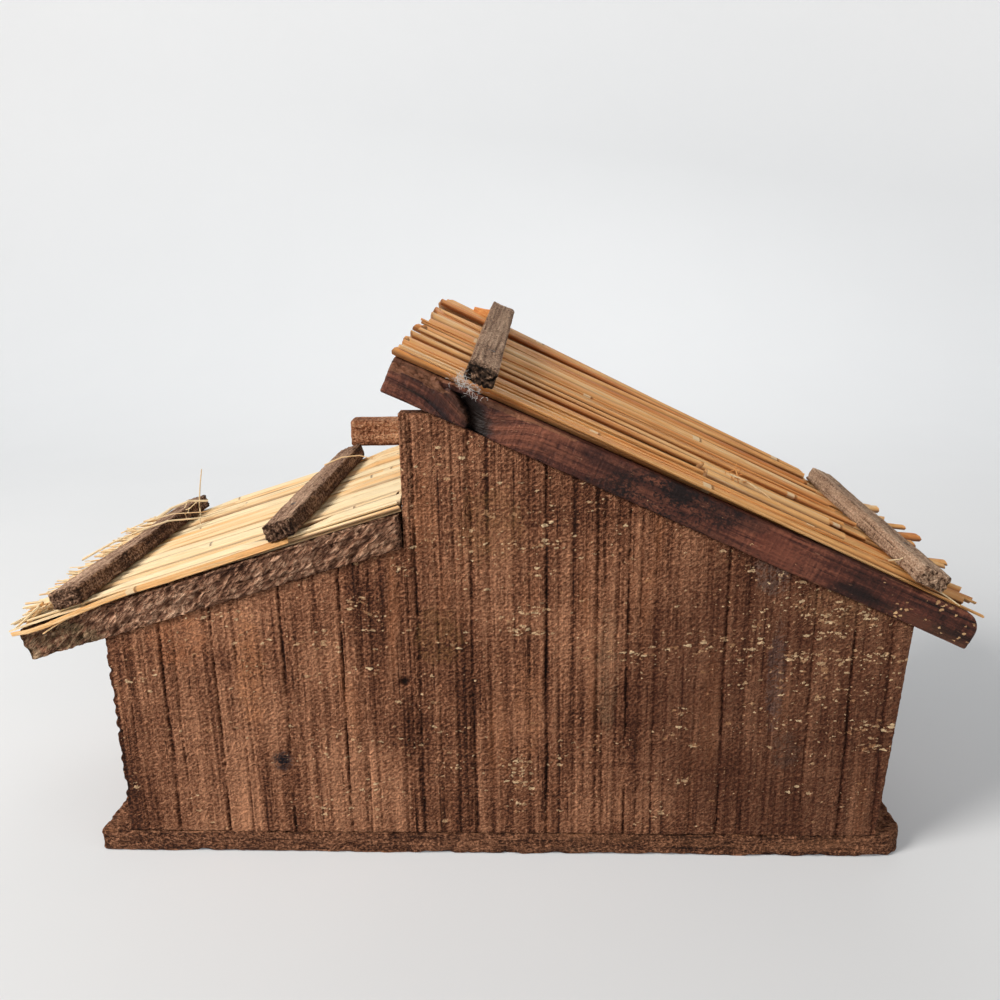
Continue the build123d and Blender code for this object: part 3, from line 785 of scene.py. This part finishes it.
def batten(name, roof, held, seed, finish, over=0.0, skew=0.0, rot=0.0):
    """Batten across a roof, its near end passing the edge by the overhang given."""
    at, seat, rise = held
    length, wide, thick = BATTEN
    length += over
    bm = sawn_stick(length, wide, thick, 0.9, 0.8)
    weather(bm, seed, 0.5, 0.22, 1.6)
    tear_ends(bm, length, seed, 1.3)
    if rot:
        rot_end(bm, rot, 1.6)
    # Painted shade on the up-slope side of the brown battens.
    if finish is BROWN_BATTEN:
        paint_upslope_shade(bm)
    turned = Matrix.Rotation(skew, 4, "Z") @ Matrix.Rotation(math.atan(rise), 4, "X")
    seated = roof @ Matrix.Translation((at, 0, RAFTER + seat)) @ turned
    lay(bm, seated @ axes((wide / 2, -over, 0), (0, 1, 0), (-1, 0, 0)))
    add_piece(name, bm, finish, [name])


class Bed:
    """Heights of the reeds laid so far on a roof, over its rafters' tops, in the roof's own frame."""

    REACH, PITCH, CELL, MARGIN = 16.0, 4.0, 0.4, 8
    # How far past a batten's middle, up and down the slope, a reed's end is still under it
    UNDER_START, UNDER_END = 6, 8

    def __init__(self, length, battens):
        self.battens = battens
        self.xs = np.arange(-self.REACH, length + self.REACH, self.PITCH)
        self.ys = np.arange(-self.MARGIN, ROOF_DEPTH + self.MARGIN, self.CELL)
        self.top = np.zeros((len(self.xs), len(self.ys)))

    def along(self, reed):
        """Places along a reed, each with the cells there, half its height and the arch of its round side."""
        for i, x in enumerate(self.xs):
            if reed.start <= x <= reed.end:
                y, wide, tall = reed.at(x)
                near = np.abs(self.ys - y) < wide / 2
                arch = tall / 2 * np.sqrt(1 - (2 * (self.ys[near] - y) / wide) ** 2)
                yield x, (i, near), tall / 2, arch

    def rest(self, reed):
        """Settles a straight reed on what lies under its middle: the height of its underside at both ends."""
        held = [(x, float(np.max(self.top[cells] - half + arch)))
                for x, cells, half, arch in self.along(reed)]
        middle = (reed.start + reed.end) / 2
        highest = None
        for xa, za in held:
            for xb, zb in held:
                if xa <= middle < xb:
                    slope = (zb - za) / (xb - xa)
                    at_middle = za + slope * (middle - xa)
                    if highest is None or at_middle > highest[0]:
                        highest = (at_middle, slope)
        if highest is None:
            return None
        at_middle, slope = highest
        return at_middle + slope * (reed.start - middle), at_middle + slope * (reed.end - middle)

    def fits(self, reed, low, high):
        """Whether the reed passes under every batten that it reaches."""
        for at, seat, rise in self.battens:
            if reed.start < at + self.UNDER_START and reed.end > at - self.UNDER_END:
                y, _, tall = reed.at(at)
                if reed.underside(at, low, high) + tall > seat + rise * y:
                    return False
        return True

    def hangs(self, reed, low, high):
        """How far the reed's ends stand off what lies under them."""
        gaps = [float(np.min(reed.underside(x, low, high) + half - arch - self.top[cells]))
                for x, cells, half, arch in self.along(reed)]
        return max(gaps[0], gaps[-1])

    def cover(self, reed, low, high):
        """Raises the bed to the upper side of a settled reed."""
        for x, cells, half, arch in self.along(reed):
            self.top[cells] = np.maximum(self.top[cells], reed.underside(x, low, high) + half + arch)


class Reed:
    """One stalk: its ends along and across the roof, its width and height, where battens press it flat,
    and how far its tail springs up past the batten it starts from."""

    PRESS_REACH, SPRING_RUN = 14, 16
    KNOT_HALF, KNOT_CLEAR, KNOT_SWELL = 1.6, 3, 1.1
    LONG = 40

    def __init__(self, start, end, places, wide, tall, taper, pressed=(), spring=(0.0, 0.0, 1)):
        self.start, self.end, (self.y_start, self.y_end) = start, end, places
        self.wide, self.tall, self.taper, self.pressed = wide, tall, taper, pressed
        self.spring_from, self.spring, self.tail = spring
        self.long = end - start > self.LONG

    def at(self, x):
        """Place across the roof, width and height at a place along it."""
        share = (x - self.start) / (self.end - self.start)
        swell = 1 + self.taper * (share - 0.5)
        tall = self.tall * swell
        for at, limit in self.pressed:
            if tall > limit:
                tall -= (tall - limit) * math.exp(-((x - at) / self.PRESS_REACH) ** 4)
        return self.y_start + share * (self.y_end - self.y_start), self.wide * swell, tall

    def underside(self, x, low, high):
        """Height of the settled reed's underside, from what it is at both ends."""
        return low + (x - self.start) / (self.end - self.start) * (high - low)

    def lift(self, x):
        """How far the tail stands off the roof, at the reed's start (-1) or end (1)."""
        return self.spring * (max(0.0, (x - self.spring_from) * self.tail) / self.SPRING_RUN) ** 1.5

    def stations(self, low, high, knot):
        """Middles, half widths and half heights along the settled reed, two of them for its knot."""
        xs = [self.start, self.end]
        for at, _ in self.pressed:
            xs += [at + off for off in (-18, -8, 8, 18)]
        if self.spring:
            tip = self.start if self.tail < 0 else self.end
            xs += [self.spring_from, (self.spring_from + tip) / 2]
        if knot is not None:
            xs = [x for x in xs if abs(x - knot) > self.KNOT_CLEAR or x in (self.start, self.end)]
            xs += [knot - self.KNOT_HALF, knot + self.KNOT_HALF]
        stations = []
        for x in sorted(x for x in xs if self.start <= x <= self.end):
            y, wide, tall = self.at(x)
            under = self.underside(x, low, high) + self.lift(x)
            swell = self.KNOT_SWELL if knot is not None and abs(x - knot) < 2 else 1.0
            stations.append((Vector((x, y, RAFTER + under + tall / 2)), wide / 2 * swell, tall / 2 * swell))
        return stations


FAR_FROM_KNOT, HOLLOW_END = 99.0, 1.6


def stalk(bm, layers, stations, colour, knot, sides, rng, open_ends=True):
    """Draws a stalk through its stations, each a middle, a half width and a half height."""
    grain, facts, hollow = layers
    shift = Vector((rng.uniform(0, 900), rng.uniform(0, 90), rng.uniform(0, 90)))
    middles = [station[0] for station in stations]

    def dress(verts, past_knot, inside=0.0):
        for v in verts:
            off = v.co - middle
            low = off.dot(up) < -0.3 * tall and abs(ahead.y) < 0.8
            # Painted shade: how far a point sits out on the stalk's flank or underside, which the skin
            # darkens.
            between = (1.0 if low else abs(off.dot(side)) / wide) * (1.0 if open_ends else 0.8)
            v[grain], v[facts], v[hollow] = v.co + shift, (colour, past_knot, between), inside

    def past(x):
        return FAR_FROM_KNOT if knot is None else x - knot

    def section(i):
        ahead = (middles[min(i + 1, len(middles) - 1)] - middles[max(i - 1, 0)]).normalized()
        flat = Vector((0, 1, 0)) if abs(ahead.y) < 0.8 else Vector((1, 0, 0))
        side = (flat - ahead * flat.dot(ahead)).normalized()
        return side, ahead.cross(side), ahead

    middle, wide, tall = stations[0]
    side, up, ahead = section(0)
    turned = Matrix.Translation(middle) @ Matrix((side * wide, up * tall, ahead)).transposed().to_4x4()
    verts = bmesh.ops.create_circle(bm, cap_ends=True, radius=1, segments=sides, matrix=turned)["verts"]
    first = cap = verts[0].link_faces[0]
    dress(verts, past(middle.x))
    for i, (next_middle, next_wide, next_tall) in enumerate(stations[1:], 1):
        new = bmesh.ops.extrude_face_region(bm, geom=[cap])["geom"]
        cap = next(g for g in new if isinstance(g, bmesh.types.BMFace))
        next_side, next_up, ahead = section(i)
        for v in cap.verts:
            off = v.co - middle
            v.co = (next_middle + next_side * (off.dot(side) / wide * next_wide)
                    + next_up * (off.dot(up) / tall * next_tall))
        middle, wide, tall, side, up = next_middle, next_wide, next_tall, next_side, next_up
        dress(cap.verts, past(middle.x))
    for end, i, into in ((first, 0, HOLLOW_END), (cap, len(stations) - 1, -HOLLOW_END)):
        side, up, ahead = section(i)
        slant, lean = rng.uniform(-0.6, 0.6), rng.uniform(-0.5, 0.5)
        for v in end.verts:
            off = v.co - middles[i]
            v.co += ahead * (slant * off.dot(side) + lean * off.dot(up))
        if open_ends:
            bmesh.ops.inset_region(bm, faces=[end], thickness=min(stations[i][1:]) * 0.3)
            bmesh.ops.translate(bm, vec=ahead * into, verts=end.verts)
            middle, (wide, tall) = middles[i], stations[i][1:]
            dress(end.verts, FAR_FROM_KNOT, 1.0)


def new_stalks():
    bm = bmesh.new()
    layers = (bm.verts.layers.float_vector.new("grain"), bm.verts.layers.float_vector.new("stalk"),
              bm.verts.layers.float.new("hollow"))
    return bm, layers


MOST_HANG, TRIES, KNOT_CHANCE, KNOT_FROM_END = 2.2, 9, 0.45, 8


def lowest_reed(make, bed, rng):
    """Of some tries, the reed that settles lowest, with the heights of its ends, or None where none fits."""
    best = None
    for _ in range(TRIES):
        reed = make(rng)
        rest = bed.rest(reed)
        if not rest or not bed.fits(reed, *rest):
            continue
        if reed.long and bed.hangs(reed, *rest) > MOST_HANG:
            continue
        if best is None or sum(rest) < sum(best[1]):
            best = (reed, rest)
    return best


def thatch(name, roof, bed, kinds, nodes, seed, tint, spread, sides):
    """Lays reeds of each kind, lowest place first, until they no longer pass under the battens."""
    rng = random.Random(seed)
    bm, layers = new_stalks()
    for make, most_misses, most in kinds:
        misses, laid = 0, 0
        while misses < most_misses and laid < most:
            best = lowest_reed(make, bed, rng)
            if best is None:
                misses += 1
                continue
            reed, (low, high) = best
            bed.cover(reed, low, high)
            knot = None
            if reed.long and rng.random() < KNOT_CHANCE:
                knot = rng.uniform(reed.start + KNOT_FROM_END, reed.end - KNOT_FROM_END)
            colour = min(1.0, max(0.2, rng.gauss(tint, spread)))
            thick = reed.wide > 2
            stations = reed.stations(low, high, knot)
            stalk(bm, layers, stations, colour, knot, sides if thick else 5, rng, thick)
            laid += 1
    lay(bm, roof)
    bmesh.ops.recalc_face_normals(bm, faces=bm.faces)
    add_piece(name, bm, REED, nodes, 60)


def strands(name, roof, finish, paths):
    """Loose straw and split fibres, each a path of points with a half width, a half height and a colour."""
    rng = random.Random(71)
    bm, layers = new_stalks()
    for points, wide, tall, colour, knot in paths:
        last = len(points) - 1
        stations = [(Vector(point), wide * (1 - 0.5 * i / last), tall * (1 - 0.4 * i / last))
                    for i, point in enumerate(points)]
        stalk(bm, layers, stations, colour, knot, 6, rng, False)
    lay(bm, roof)
    bmesh.ops.recalc_face_normals(bm, faces=bm.faces)
    add_piece(name, bm, finish, (), 60)


def tuft(rng, middle, reach, count, long, wide, colour):
    """Paths of short curling fibres round a place."""
    paths = []
    for _ in range(count):
        at = Vector(middle) + Vector([rng.gauss(0, r) for r in reach])
        way = Vector([rng.uniform(-1, 1) for _ in range(3)])
        points = [tuple(at)]
        for _ in range(4):
            way = (way + Vector([rng.uniform(-0.8, 0.8) for _ in range(3)])).normalized()
            at = at + way * (long / 4)
            points.append(tuple(at))
        paths.append((points, wide, wide, colour, None))
    return paths


def across(rng, wide, skew):
    """Two places across the roof, a little askew, inside its edges."""
    low, high = 1 + wide / 2, ROOF_DEPTH - 1 - wide / 2
    y = rng.uniform(low, high)
    return y, min(high, max(low, y + rng.uniform(-skew, skew)))


LEAN_TO_PRESSED = ((LOW_EAVE[0], 2.6), (LOW_STEP[0], 3.0))
# Where the reeds come out from under the eave battens
LOW_EDGE, HIGH_EDGE = 15.0, 199.0


def lean_to_reed(rng):
    wide = rng.uniform(4.2, 7.4)
    tall = min(4.2, wide * rng.uniform(0.45, 0.7))
    places = across(rng, wide, 2)
    whole = rng.random() < 0.25
    start = rng.uniform(-4, 2) if whole else rng.uniform(5, 11)
    end = LEAN_TO_LENGTH + rng.uniform(4.8, 5.5)
    spring = 0.7 * eave_spring(rng, places[0]) if whole else 0.0
    return Reed(start, end, places, wide, tall, 0.35, LEAN_TO_PRESSED, (LOW_EDGE, spring, -1))


def lean_to_split(rng):
    """Narrow reed that drops into a gap left between the broad ones."""
    wide = rng.uniform(1.5, 4.4)
    start, end = rng.uniform(4, 11), LEAN_TO_LENGTH + rng.uniform(2.5, 5)
    return Reed(start, end, across(rng, wide, 2), wide, min(2.2, wide * 0.6), 0.1)


def eave_spring(rng, y):
    """Spring of a straw at the low eave, more of it away from the back edge."""
    return rng.uniform(0.75, 1.1) * (0.8 + min(1.0, y / 32) * 4.8)


def lean_to_straw(rng):
    wide = rng.uniform(1.2, 2.2)
    places = across(rng, wide, 4)
    start, end = rng.uniform(-7, 2), LEAN_TO_LENGTH + rng.uniform(3.5, 5)
    spring = eave_spring(rng, places[0])
    return Reed(start, end, places, wide, wide * 0.7, 0.2, (), (LOW_EDGE, spring, -1))


def eave_straw(rng):
    """Short straw that springs up in front of the low eave batten."""
    wide = rng.uniform(0.7, 1.7)
    places = across(rng, wide, 2)
    spring = eave_spring(rng, places[0]) * rng.uniform(0.5, 1.0)
    start, end = rng.uniform(-3.0, 5.0), rng.uniform(11, 13.5)
    return Reed(start, end, places, wide, wide * 0.6, 0.2, (), (LOW_EDGE, spring, -1))


def main_reed(rng):
    wide = rng.uniform(4.0, 7.2)
    tall = min(3.5, wide * rng.uniform(0.4, 0.75))
    places = across(rng, wide, 4)
    at, _, rise = HIGH_EAVE
    pressed = ((at, min(tall, 2.3 + rise * places[1])),)
    spring = rng.uniform(0, 1) ** 2 * 4.5 if places[1] > 9 else 0.0
    end = MAIN_LENGTH + rng.uniform(-6, 6)
    return Reed(rng.uniform(-2.4, 0.8), end, places, wide, tall, -0.1, pressed, (HIGH_EDGE, spring, 1))


def main_split(rng):
    """Narrow reed that drops into a gap left between the broad ones."""
    wide = rng.uniform(1.5, 4.2)
    end = MAIN_LENGTH + rng.uniform(-8, 3)
    return Reed(rng.uniform(-2, 1), end, across(rng, wide, 3), wide, min(2.0, wide * 0.55), -0.1)


def main_short_reed(rng):
    """Reed of the upper courses, from the ridge to short of the eave batten."""
    wide = rng.uniform(4.4, 7.2)
    tall = min(4.4, wide * rng.uniform(0.45, 0.8))
    return Reed(rng.uniform(-2.4, 1.6), rng.uniform(174, 184.4), across(rng, wide, 5), wide, tall, -0.4)


def main_crossing_reed(rng):
    wide = rng.uniform(4.0, 5.4)
    y, aside = rng.uniform(14, 100), rng.choice((-1, 1)) * rng.uniform(5, 13)
    return Reed(rng.uniform(-2, 3), rng.uniform(150, 185), (y, y + aside), wide, wide * 0.8, -0.2)


def main_broken_reed(rng):
    """Broken length left lying low on the roof, near the back edge."""
    wide = rng.uniform(3.6, 5.0)
    y = rng.uniform(16, 40)
    start, end = rng.uniform(112, 132), rng.uniform(164, 176)
    return Reed(start, end, (y, y + rng.uniform(-3, 3)), wide, wide * 0.7, 0.0)


def main_straw(rng):
    wide = rng.uniform(1.0, 2.0)
    return Reed(rng.uniform(-2, 4), rng.uniform(160, 186), across(rng, wide, 6), wide, wide * 0.8, -0.2)


# Loose straw: points along each, its half width and half height, its colour and the place of its knot
LOW_STRAW = (
    ([(104, 2.4, 14.2), (80, 1.6, 13.9), (60, 1.0, 13.7), (46.6, 0.7, 13.7), (45.4, 0.6, 13.7),
      (34, 0.2, 13.1), (22, -0.9, 12.1), (12, -1.4, 11.2), (5, -1.3, 11.0), (-1.5, -0.9, 11.7)],
     1.9, 1.3, 0.72, 46.0),
    ([(30, 0.2, 13.0), (22, -1.0, 11.9), (15, -1.6, 10.2), (10, -1.7, 8.8)], 0.5, 0.4, 0.8, None),
    ([(26, 2.2, 13.4), (14, 1.4, 13.2), (4, 0.6, 13.0), (-2.5, 0.4, 12.8)], 2.2, 0.5, 0.98, None),
    ([(-4, 62, 19.5), (8, 68, 21.6), (20, 73, 22.2), (30, 77, 21.9), (44, 83, 17.4), (60, 90, 16.2)],
     0.9, 0.5, 1.0, None),
    ([(4, 84, 22.0), (16, 86, 23.2), (28, 88, 22.6), (40, 92, 18.6), (52, 99, 17.2)], 0.45, 0.3, 0.9, None),
    ([(26.5, 116, 15.6), (29.0, 116.6, 22.0), (31.6, 117.4, 28.0), (34.8, 118.2, 34.5)],
     0.6, 0.4, 0.95, None),
    ([(12, 103, 20.6), (19, 107, 22.6), (27, 110, 22.9), (34, 113, 20.0)], 2.3, 0.8, 1.0, None),
    ([(98, 96, 21.9), (107, 94.5, 23.0), (115, 93.4, 21.6), (121, 92.6, 18.0)], 0.5, 0.35, 0.9, None))
HIGH_STRAW = (
    ([(183, 12, 15.6), (186.6, 12.5, 17.4), (188.4, 12.8, 19.6)], 0.35, 0.3, 1.0, None),
    ([(13, 121, 26.6), (18, 119.5, 28.2), (23.5, 118, 30.4)], 0.4, 2.2, 0.5, None),
    ([(196, 1.5, 14.8), (201, 0.0, 14.2), (206, -0.6, 13.2)], 0.4, 0.3, 1.0, None),
    ([(122, 22, 19.2), (128, 21, 19.6), (135, 18.6, 18.4), (140, 17.8, 17.0)], 0.5, 0.3, 0.9, None))


def loose_straw():
    """Split reed along the low roof's edge, straw over the battens, and fluff at the ridge batten."""
    rng = random.Random(61)
    wisps = tuft(rng, (29, 106, 20.8), (4, 4, 0.3), 5, 9, 0.28, 1.0)
    strands("lean_to_loose_straw", LEAN_TO, REED, [*LOW_STRAW, *wisps])
    wisps = tuft(rng, (126, 24, 18.8), (2.5, 1.6, 0.4), 9, 6, 0.22, 0.5)
    strands("main_loose_straw", MAIN, REED, [*HIGH_STRAW, *wisps])
    dust = tuft(rng, (23.4, -3.2, 15.2), (1.3, 0.5, 1.2), 90, 2.0, 0.045, 0.5)
    dust += tuft(rng, (27.5, -3.6, 13.6), (2.2, 0.5, 0.9), 55, 2.2, 0.045, 0.5)
    strands("ridge_batten_fluff", MAIN, FLUFF, dust)


base_board()
back_wall()
side_wall("left_side_wall", WALL_LEFT, 12, lean_to_underside)
side_wall("right_side_wall", WALL_RIGHT - SIDE_BOARD, 13, main_underside)
front_post("left_front_post", WALL_LEFT, 14, lean_to_underside)
front_post("middle_front_post", STEP, 15, main_underside)
front_post("right_front_post", WALL_RIGHT - POST, 16, main_underside)
lean_to_rafters()
main_rafters()
tie_beam()
for number, (name, roof, at) in enumerate((
        ("lean_to_eave_purlin", LEAN_TO, LOW_EAVE[0]), ("lean_to_step_purlin", LEAN_TO, LOW_STEP[0]),
        ("main_ridge_purlin", MAIN, RIDGE[0]), ("main_middle_purlin", MAIN, MIDDLE_PURLIN),
        ("main_eave_purlin", MAIN, HIGH_EAVE[0]))):
    purlin(name, roof, at, 20 + number)
batten("lean_to_eave_batten", LEAN_TO, LOW_EAVE, 31, BROWN_BATTEN)
batten("lean_to_step_batten", LEAN_TO, LOW_STEP, 32, BROWN_BATTEN)
batten("main_ridge_batten", MAIN, RIDGE, 33, GREY_BATTEN, 3.5, 0.026, 9.0)
batten("main_eave_batten", MAIN, HIGH_EAVE, 34, GREY_BATTEN, 3.0)
# Kinds of reed in the order they are laid, each with the misses that end it and the most that are laid
LEAN_TO_KINDS = ((lean_to_reed, 40, 99), (lean_to_split, 60, 60), (lean_to_straw, 30, 7),
                 (eave_straw, 20, 330))
MAIN_KINDS = ((main_reed, 40, 99), (main_split, 60, 60), (main_short_reed, 60, 150),
              (main_crossing_reed, 14, 9), (main_broken_reed, 8, 2), (main_straw, 20, 8))
MAIN_COURSES = [f"main_reeds_course_{number}" for number in range(1, 5)]
thatch("lean_to_thatch", LEAN_TO, Bed(LEAN_TO_LENGTH, (LOW_EAVE, LOW_STEP)), LEAN_TO_KINDS, ["lean_to_reeds"],
       41, 0.95, 0.12, 12)
thatch("main_thatch", MAIN, Bed(MAIN_LENGTH, (RIDGE, HIGH_EAVE)), MAIN_KINDS, MAIN_COURSES, 42, 0.64, 0.08, 8)
loose_straw()
for name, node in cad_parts.items():
    if name.endswith("_nails"):
        node.data.materials.clear()
        node.data.materials.append(STEEL)


def backdrop_paper():
    """Pale paper that glows a little, to the camera only, and more so far off."""
    paper = Finish("backdrop_paper")
    place = paper.place()
    mottle = paper.noise(place, (0.01, 0.01, 0.01), 2)
    seen = paper.node("LightPath", {}, {}, "Is Camera Ray")
    away = paper.step(paper.part(place, "Y"), -200, 1100)
    glow = paper.mix(away, (0.1, 0.11, 0.12, 1), (0.34, 0.36, 0.38, 1))
    far_off = paper.step(paper.length(place), 900, 2600)
    glow = paper.mix(far_off, glow, (0.57, 0.57, 0.57, 1))
    paper.feed(paper.shader.inputs["Emission Color"], paper.mix(seen, (0, 0, 0, 1), glow))
    paper.shader.inputs["Emission Strength"].default_value = 1.0
    return paper.done(paper.mix(0.5 + mottle * 0.3, (0.6, 0.6, 0.6, 1), (0.64, 0.64, 0.64, 1)), 0.9)


def backdrop(reach=20, fold_at=1.6, sweep=1.0):
    """Floor that sweeps up behind the stable, in metres."""
    bm = bmesh.new()
    bmesh.ops.create_grid(bm, x_segments=1, y_segments=1, size=reach)
    far = [e for e in bm.edges if all(v.co.y > 0 for v in e.verts)]
    for v in far[0].verts:
        v.co.y = fold_at
    raised = bmesh.ops.extrude_edge_only(bm, edges=far)["geom"]
    bmesh.ops.translate(bm, vec=(0, 0, reach), verts=[g for g in raised if isinstance(g, bmesh.types.BMVert)])
    fold = [e for e in bm.edges if all(abs(v.co.y - fold_at) < 0.01 and abs(v.co.z) < 0.01 for v in e.verts)]
    bmesh.ops.bevel(bm, geom=fold, offset=sweep, segments=24, profile=0.5, affect="EDGES", material=-1)
    new_object("floor", bm, backdrop_paper())


def lamp(name, place, size, power, colour):
    """Round lamp turned to the stable, which the camera doesn't see."""
    light = bpy.data.lights.new(name, "AREA")
    light.shape, light.size, light.energy, light.color = "DISK", size, power, colour
    holder = bpy.data.objects.new(name, light)
    holder.location = place
    holder.visible_camera = False
    holder.rotation_euler = (Vector((0, -0.02, 0.1)) - Vector(place)).to_track_quat("-Z", "Y").to_euler()
    bpy.context.scene.collection.objects.link(holder)


def photo_camera(place, yaw, pitch, roll, lens):
    """Camera at the photograph's place, its lens as a share of the picture's width."""
    ahead = Vector((-math.sin(yaw) * math.cos(pitch), math.cos(yaw) * math.cos(pitch), -math.sin(pitch)))
    level = Vector((math.cos(yaw), math.sin(yaw), 0))
    above = level.cross(ahead)
    side = math.cos(roll) * level + math.sin(roll) * above
    top = math.cos(roll) * above - math.sin(roll) * level
    camera = bpy.data.cameras.new("camera")
    camera.sensor_width, camera.lens = 36.0, 36.0 * lens
    camera.clip_start = 0.01
    stand = bpy.data.objects.new("camera", camera)
    turned = Matrix((side, top, -ahead)).transposed().to_4x4()
    stand.matrix_world = Matrix.Translation(place) @ turned
    bpy.context.scene.collection.objects.link(stand)
    bpy.context.scene.camera = stand


def studio():
    """Floor that sweeps up behind, soft light from the upper left and the photograph's camera, in metres."""
    backdrop()
    lamp("window", (-0.95, -0.62, 0.95), 0.55, 21.0, (1.0, 0.98, 0.95))
    lamp("fill", (0.9, -0.9, 0.7), 1.2, 3.0, (1.0, 0.97, 0.93))
    lamp("front", (0.25, 0.85, 0.95), 0.7, 3.0, (1.0, 0.98, 0.96))
    bpy.context.scene.world = Room("room", (1.0, 0.99, 0.98, 1), 0.32, 0.78).world
    turns = [math.radians(turn) for turn in (2.47, 14.90, -1.06)]
    photo_camera((0.0161, -0.3590, 0.2142), *turns, 0.894)
    bpy.context.scene.view_settings.view_transform = "Standard"


studio()
